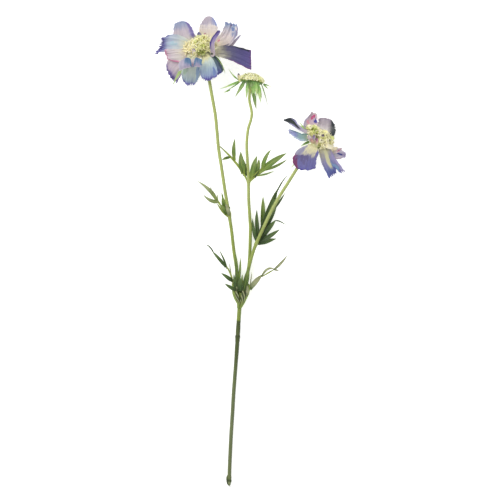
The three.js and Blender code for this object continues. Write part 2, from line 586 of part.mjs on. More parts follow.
// A cup that the stalk's end sits in, with the bracts growing from its rim.
function involucre(head, bracts, cup, grow = 0) {
  const [rim, low, high] = [cup.radius + grow, cup.low - grow, cup.high + grow];
  const profile = [[0, low], [cup.foot + grow, low], [rim, cup.high - cup.lip], [rim, high], [0, high]];
  const foot = { reach: cup.radius - 1.6, height: cup.high - 1.1 };
  const blades = bracts.map((bract) => bractBlade(head, bract, foot, grow));
  return fuse([turned(head, [0, 0], profile), ...blades]);
}

// One floret: a small funnel that opens outwards from its seat.
function funnel(seat, direction, size) {
  const { side, normal } = sectionAxes(direction);
  const ring = (distance, radius) => Array.from({ length: florets.sides }, (_, j) => {
    const angle = (j / florets.sides) * 2 * Math.PI;
    return seat.clone().addScaledVector(direction, distance)
      .addScaledVector(side, radius * Math.cos(angle))
      .addScaledVector(normal, radius * Math.sin(angle));
  });
  return loft([ring(-florets.sunk, size * florets.foot), ring(florets.reach + size * 0.6, size)]);
}

// Florets set in a golden-angle spiral over a dome, the outermost the largest.
function pincushion(head, { centre = [0, 0], low, radius, height, count, floret, undercut }) {
  const rim = low + undercut;
  const spread = radius * florets.seatAt;
  const shapes = [turned(head, centre, [
    [0, low], [radius * 0.6, low], [radius * 0.9, rim], [radius * 0.82, rim + height * 0.5],
    [radius * 0.45, rim + height * 0.85], [0, rim + height],
  ], 8)];
  for (let i = 0; i < count; i++) {
    const turn = i * goldenAngle;
    const polar = Math.acos(1 - ((i + 0.5) / count) * florets.cover);
    const out = Math.sin(polar);
    const [x, y, z] = [out * Math.cos(turn), out * Math.sin(turn), Math.cos(polar)];
    const outermost = out > 0.86 ? 1.3 : 1;
    const size = floret * (0.85 + 0.3 * Math.abs(Math.sin(i * 2.4))) * outermost;
    const seat = inHead(head, centre[0] + spread * x, centre[1] + spread * y, rim + 0.4 + z * (height - 1));
    const direction = inHead(head, x, y, z + 0.3).sub(head.centre).normalize();
    shapes.push(funnel(seat, direction, size));
  }
  return fuse(shapes);
}

// The space that a head's florets stand in, which its petals keep out of.
function pincushionRoom(head, { centre = [0, 0], low, radius, height, floret, undercut }) {
  const reach = radius * florets.seatAt + florets.reach + floret * 1.9;
  const rim = low + undercut - 0.8;
  const top = low + undercut + height + florets.reach + floret;
  return solid(turned(head, centre, [
    [0, low - gap], [radius * 0.6 + gap, low - gap], [reach, rim], [reach, rim + height * 0.4],
    [reach * 0.7, top - 2], [reach * 0.35, top], [0, top],
  ]));
}

function join(bodies) {
  return bodies.reduce((sum, body) => sum.add(body));
}

// Petals leave the receptacle at two heights by turns, so that neighbours lie over each other.
function petalWhorl(head, petals) {
  const { outer, low, high } = petalRing;
  const ring = turned(head, [0, 0], [[0, low], [outer, low], [outer, high], [0, high]]);
  const blades = petals.map((petal, i) => {
    const lift = i % 2 ? petalRing.upper : petalRing.lower;
    return petalBlade(petal, petalLine(petal, head, lift), head);
  });
  return fuse([ring, ...blades]);
}

function buildHead(name, head, petals, bracts, cushions) {
  const green = involucre(head, bracts, openCup);
  const grownGreen = involucre(head, bracts, openCup, gap);
  const rooms = cushions.map((cushion) => pincushionRoom(head, cushion));
  const petalBody = cut(petalWhorl(head, petals), [...rooms, grownGreen, ...grownStalks]);
  const cushionBody = join(cushions.map((cushion) => pincushion(head, cushion)));
  return [
    mesh("bloom_" + name + "_bracts", cut(green, grownStalks), finishes.bract),
    mesh("bloom_" + name + "_petals", petalBody, finishes.petal),
    mesh("bloom_" + name + "_florets", cushionBody, finishes.floret),
  ];
}

function buildBud() {
  const head = heads.bud;
  const green = involucre(head, budBracts, budCup);
  const grownGreen = involucre(head, budBracts, budCup, gap);
  const room = pincushionRoom(head, budCushion);
  const line = smoothLine(budPetalPoints.map((point) => head.centre.clone().add(vector(point))));
  const blade = solid(petalBlade(budPetal, line, head, 4, 4));
  return [
    mesh("bud_bracts", cut(green, [...grownStalks, room]), finishes.bract),
    mesh("bud_florets", pincushion(head, budCushion), finishes.floret),
    mesh("bud_petal", cut(blade, [grownGreen]), finishes.petal),
  ];
}

const plant = new THREE.Group();
plant.add(
  ...buildStems(),
  ...buildLeaves(),
  ...buildHead("left", heads.left, leftPetals, leftBracts, [openCushion]),
  ...buildHead("right", heads.right, rightPetals, rightBracts, clumps),
  ...buildBud(),
);

// The origin is the bottom centre of the whole plant.
const box = new THREE.Box3().setFromObject(plant, true);
const middle = box.getCenter(new THREE.Vector3());
plant.position.set(-middle.x, -middle.y, -box.min.z);

export default plant;
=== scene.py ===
import math

import bpy
import numpy as np
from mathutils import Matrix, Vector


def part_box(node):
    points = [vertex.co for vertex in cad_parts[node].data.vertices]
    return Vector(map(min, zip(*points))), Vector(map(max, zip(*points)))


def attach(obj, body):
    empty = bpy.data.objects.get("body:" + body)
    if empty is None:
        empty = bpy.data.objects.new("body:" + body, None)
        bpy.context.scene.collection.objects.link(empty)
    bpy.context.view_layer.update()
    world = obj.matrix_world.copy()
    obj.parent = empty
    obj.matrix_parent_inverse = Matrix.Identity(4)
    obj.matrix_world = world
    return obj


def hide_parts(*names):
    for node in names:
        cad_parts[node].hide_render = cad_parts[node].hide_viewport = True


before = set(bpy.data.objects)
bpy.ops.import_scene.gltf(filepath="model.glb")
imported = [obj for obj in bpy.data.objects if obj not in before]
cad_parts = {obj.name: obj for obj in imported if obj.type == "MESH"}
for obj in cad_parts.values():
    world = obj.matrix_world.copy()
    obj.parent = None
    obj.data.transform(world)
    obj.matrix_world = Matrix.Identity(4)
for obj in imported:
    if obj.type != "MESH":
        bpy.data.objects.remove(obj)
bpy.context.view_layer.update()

# A cut scabiosa stem that lies on a table. Sizes are millimetres in the plant's own frame: X and Y run from
# the fork, Z is up from the table. makePiece moves them into the frame and turns them into metres.
mm = 0.001
cutEnd = {"left": -14.70, "foot": -204.52}  # the low corner of the stem's box in the plant's own frame
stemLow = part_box("main_stem")[0]
shift = np.array([stemLow.x / mm - cutEnd["left"], stemLow.y / mm - cutEnd["foot"], 0.0])
up = np.array([0.0, 0.0, 1.0])
fullTurn = 2 * math.pi
rng = np.random.default_rng(7)


def unit(v):
    return v / np.maximum(np.linalg.norm(v, axis=-1, keepdims=True), 1e-9)


def smoothstep(x, low, high):
    t = np.clip((x - low) / (high - low), 0, 1)
    return t * t * (3 - 2 * t)


def between(p, i, w):
    # a smooth curve through evenly spaced values: p has one more value at each end
    a, b, c, d = (p[i + k] for k in range(4))
    return 0.5 * (2 * b + (c - a) * w + (2 * a - 5 * b + 4 * c - d) * w**2 + (3 * b - a - 3 * c + d) * w**3)


def throughValues(values, x):
    p = np.array([2 * values[0] - values[1], *values, 2 * values[-1] - values[-2]], float)
    at = np.clip(x, 0, 1) * (len(values) - 1)
    i = np.minimum(at.astype(int), len(values) - 2)
    return between(p, i, at - i)


def smoothLine(points, count=240):
    # evenly spaced samples of a smooth line through the points
    p = np.array(points, float)
    p = np.vstack([2 * p[0] - p[1], p, 2 * p[-1] - p[-2]])
    t = np.linspace(0, len(p) - 3, count * 2)
    i = np.minimum(t.astype(int), len(p) - 4)
    line = between(p, i, (t - i)[:, None])
    reach = np.concatenate([[0], np.cumsum(np.linalg.norm(np.diff(line, axis=0), axis=1))])
    even = np.linspace(0, reach[-1], count)
    return np.stack([np.interp(even, reach, line[:, k]) for k in range(3)], axis=1)


def lineLength(line):
    return np.linalg.norm(np.diff(line, axis=0), axis=1).sum()


def alongLine(line, share):
    # where a line is at shares of its length, and which way it runs there
    at = np.clip(share, 0, 1) * (len(line) - 1)
    marks = np.arange(len(line))
    slope = np.gradient(line, axis=0)
    place, way = (np.stack([np.interp(at, marks, values[:, k]) for k in range(3)], axis=-1)
                  for values in (line, slope))
    beyond = np.maximum(0, np.asarray(share, float) - 1)[..., None] * (len(line) - 1)
    return place + beyond * way, unit(way)  # straight on past the line's end


def throughThree(start, via, end, t):
    # the same on the curve from start to end that passes via a point half way
    t = np.asarray(t)[..., None]
    place = start * (1 - t) * (1 - 2 * t) + via * 4 * t * (1 - t) + end * t * (2 * t - 1)
    way = start * (4 * t - 3) + via * (4 - 8 * t) + end * (4 * t - 1)
    return place, unit(way)


def sectionAxes(way, roll=0.0):
    flatSide = unit(np.cross(up, way))
    flatNormal = np.cross(way, flatSide)
    roll = np.asarray(roll)[..., None]
    side = np.cos(roll) * flatSide + np.sin(roll) * flatNormal
    return side, np.cross(way, side)


def gridFaces(rows, columns, start=0, flip=False, wrap=False):
    i, j = np.meshgrid(np.arange(rows - 1), np.arange(columns if wrap else columns - 1), indexing="ij")
    k = (j + 1) % columns
    corners = [i * columns + j, (i + 1) * columns + j, (i + 1) * columns + k, i * columns + k]
    faces = (np.stack(corners, axis=-1) + start).reshape(-1, 4)
    return faces[:, ::-1] if flip else faces


def closedSheet(mid, thickness, groove=0.0, ridge=0.0):
    # a thin closed body round a sheet: its upper face, its lower face and the rim between them
    rows, columns = mid.shape[:2]
    normal = unit(np.cross(np.gradient(mid, axis=0), np.gradient(mid, axis=1)))
    half = np.broadcast_to(np.asarray(thickness) / 2, (rows, columns))[..., None]
    over = mid + normal * (half - np.asarray(groove)[..., None])
    under = mid - normal * (half + np.asarray(ridge)[..., None])
    n = rows * columns
    faces = [gridFaces(rows, columns), gridFaces(rows, columns, start=n, flip=True)]
    at = np.arange(n).reshape(rows, columns)
    margin = np.concatenate([at[0, :-1], at[:-1, -1], at[-1, :0:-1], at[:0:-1, 0]])
    after = np.roll(margin, -1)
    faces.append(np.stack([margin, after, after + n, margin + n], axis=1))
    return np.concatenate([over.reshape(-1, 3), under.reshape(-1, 3)]), np.concatenate(faces)


def tube(places, ways, radius, sides, ribs=0, ribDepth=0.0):
    # a round body along a line, closed at both ends, with its ribs
    side, normal = sectionAxes(ways)
    angle = (np.arange(sides) / sides * fullTurn)[None, :, None]
    r = np.asarray(radius).reshape(-1, 1, 1) * (1 + ribDepth * np.cos(ribs * angle))
    rings = places[:, None] + r * (side[:, None] * np.cos(angle) + normal[:, None] * np.sin(angle))
    n = len(places)
    points = np.concatenate([rings.reshape(-1, 3), places[:1], places[-1:]])
    faces = gridFaces(n, sides, flip=True, wrap=True).tolist()
    for j in range(sides):
        k = (j + 1) % sides
        faces.append([n * sides, k, j])
        faces.append([n * sides + 1, (n - 1) * sides + j, (n - 1) * sides + k])
    return points, faces


def gather(parts):
    # several bodies with their maps as one
    points, faces, maps, start = [], [], [], 0
    for somePoints, someFaces, someMap in parts:
        points.append(somePoints)
        maps.append(someMap)
        rows = someFaces.tolist() if isinstance(someFaces, np.ndarray) else someFaces
        faces += [[start + index for index in face] for face in rows]
        start += len(somePoints)
    return np.concatenate(points), faces, np.concatenate(maps)


tableGap = 0.02  # mm: nothing dips lower, so that no piece sinks into the table


def newObject(name, data):
    made = bpy.data.objects.new(name, data)
    bpy.context.collection.objects.link(made)
    return made


def makePiece(name, parts, material, slot, nodes=()):
    # parts hold points, faces and a map: "place" is its first four numbers a point, "fold" the fifth if
    # any, a petal's painted shade
    points, faces, place = gather(parts)
    points[:, 2] = np.maximum(points[:, 2], tableGap)
    mesh = bpy.data.meshes.new(name)
    mesh.from_pydata(((points + shift) * mm).tolist(), [], faces)
    mesh.attributes.new("place", "FLOAT_COLOR", "POINT").data.foreach_set("color", place[:, :4].ravel())
    if place.shape[1] > 4:
        mesh.attributes.new("fold", "FLOAT", "POINT").data.foreach_set("value", place[:, 4].copy())
    mesh.polygons.foreach_set("use_smooth", [True] * len(mesh.polygons))
    mesh.update()
    mesh.materials.append(material)
    piece = newObject(name, mesh)
    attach(piece, "root")
    if nodes:
        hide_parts(*nodes)


def mapOf(count, *values):
    # up to four numbers for each point, which the materials read
    columns = [np.broadcast_to(np.asarray(column, float).reshape(-1), (count,)) for column in values]
    columns += [np.zeros(count)] * (4 - len(columns))
    return np.stack(columns, axis=1)


def sheetMap(*values):
    # the map of a closed sheet from along, across and a last number: its third is 1 on the lower face only
    u, v, *last = (np.tile(column.reshape(-1), 2) for column in np.broadcast_arrays(*values))
    return mapOf(len(u), u, v, np.repeat([0.0, 1.0], len(u) // 2), *last)


def srgb(code):
    channels = [int(code[k:k + 2], 16) / 255 for k in (0, 2, 4)]
    linear = [c / 12.92 if c <= 0.04045 else ((c + 0.055) / 1.055) ** 2.4 for c in channels]
    return (*linear, 1.0)


def addNode(tree, kind, inputs=None, stops=None, **settings):
    node = tree.nodes.new("ShaderNode" + kind)
    for setting, value in settings.items():
        setattr(node, setting, value)
    for socket, value in (inputs or {}).items():
        if isinstance(value, bpy.types.NodeSocket):
            tree.links.new(value, node.inputs[socket])
        else:
            node.inputs[socket].default_value = value
    if stops:
        while len(node.color_ramp.elements) < len(stops):
            node.color_ramp.elements.new(0.5)
        for element, (position, code) in zip(node.color_ramp.elements, stops):
            element.position = position
            element.color = srgb(code)
    return node


def calc(tree, operation, *values):
    return addNode(tree, "Math", dict(enumerate(values)), operation=operation).outputs[0]


def remap(tree, value, low, high, first=0.0, last=1.0, **settings):
    # from low to high turns into from first to last
    inputs = {0: value, 1: low, 2: high, 3: first, 4: last}
    return addNode(tree, "MapRange", inputs, **settings).outputs[0]


def scaled(tree, vector, scale):
    return addNode(tree, "VectorMath", {0: vector, 1: scale}, operation="MULTIPLY").outputs[0]


def noise(tree, vector, scale=1.0, detail=2.0):
    return addNode(tree, "TexNoise", {"Vector": vector, "Scale": scale, "Detail": detail}).outputs["Fac"]


def clouds(tree, size, detail=2.0, stretch=None):
    # soft patches in space, of a size in millimetres
    solid = addNode(tree, "TexCoord").outputs["Object"]
    return noise(tree, scaled(tree, solid, stretch) if stretch else solid, 1 / (size * mm), detail)


def ramp(tree, value, stops):
    return addNode(tree, "ValToRGB", {0: value}, stops=stops).outputs[0]


def layHue(tree, colour, hue, mask, blend="MIX"):
    inputs = {0: mask, 6: colour, 7: srgb(hue) if isinstance(hue, str) else hue}
    return addNode(tree, "Mix", inputs, data_type="RGBA", blend_type=blend).outputs[2]


def lit(tree, colour, value):
    return addNode(tree, "HueSaturation", {"Value": value, "Color": colour}).outputs[0]


def newMaterial(name):
    material = bpy.data.materials.new(name)
    material.use_nodes = True
    material.node_tree.nodes.clear()
    return material, material.node_tree


def readPlace(tree):
    # the piece's own map as a vector, and its four numbers
    place = addNode(tree, "Attribute", attribute_name="place")
    parts = addNode(tree, "SeparateColor", {0: place.outputs["Color"]})
    return place.outputs["Vector"], *parts.outputs[:3], place.outputs["Alpha"]


def finishMaterial(material, colour, height, depth, surface):
    # depth is in millimetres, of the relief that height draws; surface is the rest of what light meets
    tree = material.node_tree
    bump = addNode(tree, "Bump", {"Height": height, "Strength": 0.6, "Distance": depth * mm})
    skin = addNode(tree, "BsdfPrincipled", {"Base Color": colour, "Normal": bump.outputs[0], **surface})
    addNode(tree, "OutputMaterial", {"Surface": skin.outputs[0]})
    return material


def tissue(roughness, shine, glow, depth, hues=(1.0, 0.2, 0.1), **more):
    # living tissue: glow is the share of light that goes through it, depth how many millimetres it goes
    return {"Roughness": roughness, "Specular IOR Level": shine, "Subsurface Weight": glow,
            "Subsurface Scale": depth * mm, "Subsurface Radius": hues, **more}


petalTissue = tissue(0.62, 0.3, 0.15, 1.2, (0.9, 0.8, 1.0), **{"Sheen Weight": 0.2, "Sheen Roughness": 0.5})
leafTissue = tissue(0.5, 0.4, 0.05, 0.8)
stemTissue = tissue(0.48, 0.4, 0.04, 1.0)
floretTissue = tissue(0.6, 0.3, 0.12, 1.4, (1.0, 1.0, 0.6))
petalGrain = {  # mm across a soft patch, then how often streaks and veins come along and across a petal
    "cloud": 7.0, "streaks": (1.3, 9.0, 0.0), "veins": (2.2, 34.0, 0.0),
}
leafVeinGap = 0.085  # of the leaf's length between side veins


def petalMaterial(name, hues, left=None, right=None, rim=None, patches=(), stir=0.3):
    # Scabiosa petal, thin tissue with veins that fan out from its foot: a soft, slightly velvety colour
    # running from a cream foot to a deeper frilled rim, with painted shade in its folds, the veins just
    # showing
    material, tree = newMaterial(name)
    place, along, across, _, closeness = readPlace(tree)
    streak = noise(tree, scaled(tree, place, petalGrain["streaks"]))
    vein = noise(tree, scaled(tree, place, petalGrain["veins"]), detail=1.0)
    both = calc(tree, "ADD", clouds(tree, petalGrain["cloud"]), streak)
    wobble = calc(tree, "MULTIPLY_ADD", both, stir, -stir)
    u = calc(tree, "ADD", along, wobble)
    v = calc(tree, "MULTIPLY_ADD", wobble, 0.7, across)
    codes = hues.split()
    colour = ramp(tree, u, list(zip(np.linspace(0.16, 0.97, len(codes)), codes)))
    smooth = {"interpolation_type": "SMOOTHSTEP"}
    for edge, margin in ((left, 1), (right, 0)):
        if edge:
            hue, width, start = edge
            inside = remap(tree, v, abs(margin - width), abs(margin - width / 3), **smooth)
            begun = remap(tree, u, start - 0.12, start + 0.12)
            colour = layHue(tree, colour, hue, calc(tree, "MULTIPLY", inside, begun))
    spot = addNode(tree, "CombineXYZ", {0: u, 1: v}).outputs[0]
    for hue, at, side, length, width in patches:
        apart = addNode(tree, "VectorMath", {0: spot, 1: (at, side, 0.0)}, operation="SUBTRACT").outputs[0]
        sized = scaled(tree, apart, (1 / length, 1 / width, 0.0))
        away = addNode(tree, "VectorMath", {0: sized}, operation="LENGTH").outputs["Value"]
        colour = layHue(tree, colour, hue, remap(tree, away, 1.15, 0.65, **smooth))
    if rim:
        hue, width = rim
        edge = calc(tree, "MULTIPLY_ADD", wobble, 0.35, closeness)
        colour = layHue(tree, colour, hue, remap(tree, edge, 1 - width, 1 - width * 0.3))
    lines = remap(tree, vein, 0.42, 0.62, 0.0, 0.16)
    # painted shade: the fold attribute darkens a petal's valleys with 6a6288, on top of the darker vein
    # lines
    fold = addNode(tree, "Attribute", attribute_name="fold").outputs["Fac"]
    deep = calc(tree, "ADD", lines, remap(tree, fold, 0.35, 1.0, 0.0, 0.2))
    colour = layHue(tree, colour, "6a6288", deep, "MULTIPLY")
    return finishMaterial(material, colour, vein, 0.12, petalTissue)


def leafMaterial(name, foot, middle, tip, under, rib):
    # Scabiosa leaf: matt green with a paler midrib, faint slanting veins and a paler underside
    material, tree = newMaterial(name)
    _, along, across, underside, own = readPlace(tree)
    cloud = clouds(tree, 5.0, 3.0)
    u = calc(tree, "MULTIPLY_ADD", cloud, 0.5, along)
    base = ramp(tree, u, [(0.2, foot), (0.65, middle), (1.15 / 1.2, tip)])
    pale = layHue(tree, lit(tree, base, calc(tree, "MULTIPLY_ADD", own, 0.35, 0.78)), under, underside)
    away = calc(tree, "ABSOLUTE", calc(tree, "SUBTRACT", across, 0.5))
    ribbed = layHue(tree, pale, rib, remap(tree, away, 0.07, 0.02, 0.0, 0.55))
    slant = calc(tree, "MULTIPLY_ADD", away, -0.5, along)
    wave = calc(tree, "COSINE", calc(tree, "MULTIPLY", slant, fullTurn / leafVeinGap))
    line = remap(tree, wave, 0.75, 1.0, 0.0, 0.22)
    height = calc(tree, "MULTIPLY_ADD", line, -3.0, cloud)
    return finishMaterial(material, layHue(tree, ribbed, rib, line), height, 0.12, leafTissue)


def stemMaterial(name, hues, shade, ribs):
    # Scabiosa stem: satin green, ribbed lengthwise, with painted shade down one side and mottled towards
    # the cut
    material, tree = newMaterial(name)
    _, along, around, _, _ = readPlace(tree)
    cloud = clouds(tree, 2.4, 3.0, (1.0, 0.16, 1.0))
    base = ramp(tree, calc(tree, "MULTIPLY_ADD", cloud, 0.006, along), hues)
    turn = calc(tree, "MULTIPLY", around, fullTurn)
    # painted shade: the side away from the key light is multiplied by the shade hue
    dark = remap(tree, calc(tree, "COSINE", turn), 0.0, -1.0, 0.0, 0.55)
    sided = layHue(tree, base, shade, dark, "MULTIPLY")
    wave = calc(tree, "COSINE", calc(tree, "MULTIPLY", turn, ribs))
    striped = layHue(tree, sided, "d9dca8", remap(tree, wave, 0.2, 1.0, 0.0, 0.25), "MULTIPLY")
    mottle = remap(tree, cloud, 0.3, 0.75, 0.88, 1.1)
    return finishMaterial(material, lit(tree, striped, mottle), wave, 0.08, stemTissue)


def floretMaterial(name, centre, rimward, lip, rim, rimShare, youngAndShadeGreen="bdcc5c", deep=0.36):
    # Disc florets: waxy tissue, yellow-green in the middle of the head and cream round it, painted shade in
    # their throats and on dim ones, their lips pale with a thin tinted rim, a few greener, a few pink or
    # violet
    material, tree = newMaterial(name)
    _, along, own, outward, _ = readPlace(tree)
    cloud = clouds(tree, 3.0)
    where = calc(tree, "MULTIPLY_ADD", cloud, 0.5, outward)
    colour = ramp(tree, where, [(0.4, centre), (1.0, rimward)])
    colour = layHue(tree, colour, lip, remap(tree, along, 0.4, 0.85, 0.0, 0.75))
    colour = layHue(tree, colour, rim, remap(tree, along, 0.9, 0.97, 0.0, rimShare))
    # a few young florets are greener; dim ones get the same green as part of their painted shade
    colour = layHue(tree, colour, youngAndShadeGreen, remap(tree, own, 0.22, 0.0, 0.0, 0.85))
    chosen = calc(tree, "GREATER_THAN", own, 0.9)
    mask = calc(tree, "MULTIPLY", chosen, remap(tree, along, 0.5, 0.8, 0.0, 0.85))
    colour = layHue(tree, colour, ramp(tree, own, [(0.94, "c86a80"), (0.96, "5c4f8c")]), mask)
    # painted shade: darker down in each floret's throat, as far as deep, and darker still on dim florets
    toned = lit(tree, colour, remap(tree, along, -0.4, 0.15, deep))
    return finishMaterial(material, toned, cloud, 0.15, floretTissue)


view = {  # mm: how far the camera sees across, round X and Y at the height of plane, then its own sizes
    "across": 550.0, "x": 9.9, "y": 55.0, "plane": 12.0, "lens": 250.0, "sensor": 36.0,
    "farthest": 20.0,  # metres
}


def makeView():
    data = bpy.data.cameras.new("camera")
    data.lens = view["lens"]
    data.sensor_width = view["sensor"]
    data.clip_end = view["farthest"]
    camera = newObject("camera", data)
    height = view["plane"] + view["across"] / view["sensor"] * view["lens"]
    camera.location = (np.array([view["x"], view["y"], height]) + shift) * mm
    bpy.context.scene.camera = camera


lights = {  # place and size in metres, power in watts
    "key": {"place": (-1.0, 1.3, 1.9), "size": 0.9, "power": 30.0},
    "fill": {"place": (1.3, -0.9, 1.7), "size": 1.8, "power": 7.0},
}
daylight = {"Color": (1.0, 1.0, 1.0, 1.0), "Strength": 0.62}


def makeLights():
    for name, light in lights.items():
        data = bpy.data.lights.new(name, "AREA")
        data.size = light["size"]
        data.energy = light["power"]
        lamp = newObject(name, data)
        away = unit(np.array(light["place"]))
        lamp.location = light["place"]
        lamp.rotation_euler = (math.acos(away[2]), 0.0, math.atan2(away[0], -away[1]))
    world = bpy.data.worlds.new("studio")
    world.use_nodes = True
    for socket, value in daylight.items():
        world.node_tree.nodes["Background"].inputs[socket].default_value = value
    bpy.context.scene.world = world
    bpy.context.scene.view_settings.view_transform = "Standard"


floorLook = {"reach": 3.0, "top": -0.0002}  # metres
litAcrylic = {
    "Roughness": 0.9, "Specular IOR Level": 0.1,
    "Emission Color": (1.0, 1.0, 1.0, 1.0), "Emission Strength": 0.52,
}


def makeFloor():
    mesh = bpy.data.meshes.new("floor")
    corners = [(x * floorLook["reach"], y * floorLook["reach"], floorLook["top"])
               for x, y in ((-1, -1), (1, -1), (1, 1), (-1, 1))]
    mesh.from_pydata(corners, [], [(0, 1, 2, 3)])
    material, tree = newMaterial("lit_white_acrylic")  # light table: matt and white, lit softly from below
    grain = clouds(tree, 1.5)
    white = ramp(tree, grain, [(0.3, "f5f5f4"), (0.7, "f8f8f8")])
    mesh.materials.append(finishMaterial(material, white, grain, 0.01, litAcrylic))
    floor = newObject("floor", mesh)


makeView()
makeLights()
makeFloor()
print("camera, light and floor are made")


def headFrame(centre, facing):
    axis = unit(np.array(facing, float))
    e1 = unit(np.cross(axis, up))
    return {"centre": np.array(centre, float), "axis": axis, "e1": e1, "e2": np.cross(axis, e1)}


def inHead(head, x, y, z):
    x, y, z = (np.asarray(value, float)[..., None] for value in (x, y, z))
    return head["centre"] + x * head["e1"] + y * head["e2"] + z * head["axis"]


heads = {
    "left": headFrame([-43.2, 274, 28], [-0.05, 0.7, 0.71]),
    "right": headFrame([82.2, 175.3, 22.5], [0.43, 0.57, 0.7]),
    "bud": headFrame([11.9, 241.5, 17.6], [0.13, 0.985, -0.05]),
}


stemLook = {"sides": 24, "step": 1.6, "ribs": 8, "ribDepth": 0.035}
mainStem = {  # a knuckle is how far up the stem it is, how far it stands out, and its half length
    "points": [
        [-12.9, -204.5, 1.75], [-12.7, -188, 1.75], [-11.2, -154, 1.75], [-9.2, -121, 1.75],
        [-7.9, -99, 1.75], [-5.4, -66, 1.75], [-3.8, -42, 1.75], [-2.6, -22, 1.75], [-1.7, -9, 2.0],
        [-0.6, 1.5, 3.0], [0.9, 8.0, 4.0],
    ],
    "radius": (2.02, 2.02),
    "knuckles": [(164, 0.8, 1.4), (160.5, 0.4, 1.2), (172, 0.4, 7.0), (152, 0.25, 9.0), (8.4, 0.4, 1.3),
                 (5.6, -0.35, 0.7), (0, -0.75, 2.4), (212, 1.6, 6.0)],
    "collar": (180.5, 0.16),  # where the dull lower stem meets the green neck, and how far that stands out
}
stalks = {
    "left": {
        "points": [
            [-1.4, 1, 2.9], [-2.6, 10, 3.4], [-4.7, 33, 5.2], [-8, 55, 7.2], [-10.5, 77, 9.6],
            [-14, 99, 12], [-17.7, 121, 14.5], [-21, 143, 17], [-24.4, 165, 18.2], [-26.5, 187, 19.2],
            [-28.2, 203.5, 19.8], [-32.1, 225.5, 20], [-35.4, 244, 20], [-38, 256.5, 20.4],
            [-41.4, 266, 22.4], [-43, 271.6, 25.6],
        ],
        "radius": (1.8, 1.7), "knuckles": [(95, 0.7, 3.2)],
    },
    "middle": {
        "points": [
            [1.7, 1, 2.3], [3.2, 12, 2.7], [6.9, 27.5, 3.4], [9.3, 44, 4.2], [10.4, 77, 5.6],
            [9.9, 88, 6.2], [8.5, 110, 7.8], [8.2, 134, 9.6], [7.4, 149, 10.8], [6.3, 170.5, 12.4],
            [7.7, 187, 13.6], [10.6, 197, 14.4], [11.9, 204.2, 15], [11, 211, 15.5], [9.3, 219, 16],
            [9.5, 227, 16.8], [11, 238.6, 17.7],
        ],
        "radius": (1.9, 1.42), "knuckles": [(132, 0.8, 3.0), (237, 0.6, 6.0)],
    },
    "right": {
        "points": [
            [2.2, 2.5, 5.6], [3.6, 12, 6.2], [8.1, 33, 7.8], [12, 48.5, 9.4], [16.6, 61.6, 10.6],
            [22.8, 75.5, 12], [32.5, 96.2, 13.2], [41.8, 113, 13.8], [51.4, 128.4, 14],
            [62.2, 145.6, 14.2], [72, 160.4, 15.8], [80.8, 173.4, 20.2],
        ],
        "radius": (1.75, 1.7), "knuckles": [(62, 0.4, 3.0)],
    },
}
hairLook = {"gap": 0.42, "length": (0.5, 1.1), "radius": 0.035}


def stemBody(stem):
    # a stem's points, faces and map, and the lines that its hairs grow from
    line = smoothLine(stem["points"])
    length = lineLength(line)
    share = np.linspace(0, 1, int(length / stemLook["step"]))
    places, ways = alongLine(line, share)
    start, end = stem["radius"]
    radius = start + (end - start) * share
    for at, grow, spread in stem["knuckles"]:
        radius = radius + grow * np.exp(-(((share * length - at) / spread) ** 2))
    if "collar" in stem:
        at, step = stem["collar"]
        radius = radius + step * smoothstep(share * length, at - 0.8, at + 0.8)
    sides = stemLook["sides"]
    points, faces = tube(places, ways, radius, sides, stemLook["ribs"], stemLook["ribDepth"])
    along = np.append(np.repeat(share, sides), [0.0, 1.0])
    around = np.append(np.tile(np.arange(sides) / sides, len(places)), [0.0, 0.0])
    return (points, faces, mapOf(len(points), along, around)), (places, ways, radius)


def hair(root, way, length):
    # one hair: a three-sided spike
    side, normal = sectionAxes(way[None])
    turn = np.arange(3)[:, None] / 3 * fullTurn
    ring = root + hairLook["radius"] * (np.cos(turn) * side + np.sin(turn) * normal)
    points = np.concatenate([ring, [root + way * length]])
    return points, [[0, 1, 3], [1, 2, 3], [2, 0, 3], [2, 1, 0]], mapOf(4, [0, 0, 0, 1], 0.5)


def hairsOn(places, ways, radius):
    side, normal = sectionAxes(ways)
    parts = []
    for _ in range(int(lineLength(places) / hairLook["gap"])):
        i = rng.integers(1, len(places) - 1)
        turn = rng.uniform(0, fullTurn)
        out = side[i] * math.cos(turn) + normal[i] * math.sin(turn)
        root = places[i] + out * radius[i] * 0.97 + ways[i] * rng.uniform(-0.8, 0.8)
        way = unit(out + 0.35 * rng.normal(size=3))
        parts.append(hair(root, way, rng.uniform(*hairLook["length"])))
    return parts


tornEnd = {  # the torn strips at the cut: the radius at their two ends, and points
    "hook": (1.0, 0.8, [[-14.9, -193.4, 2.4], [-15.5, -198.4, 2.8], [-14.5, -203.4, 2.6],
                        [-11.8, -205.9, 2]]),
    "lip": (0.8, 0.35, [[-11.6, -197.4, 2.4], [-10.9, -199.8, 2.8], [-12, -202.6, 2.4]]),
}


def cutEndParts():
    # a split tongue of stem that hooks across the cut, and a torn lip beside it
    share = np.linspace(0, 1, 16)
    tones = np.append(np.repeat(0.036 - 0.02 * share, 12), [0.03, 0.012])
    blunt = np.sqrt(np.clip(4.4 * share + 0.3, 0, 1) * (1.15 - share))
    for start, end, points in tornEnd.values():
        places, ways = alongLine(smoothLine(points), share)
        points, faces = tube(places, ways, (start + (end - start) * share) * blunt, 12)
        yield points, faces, mapOf(len(points), tones, 0.3)


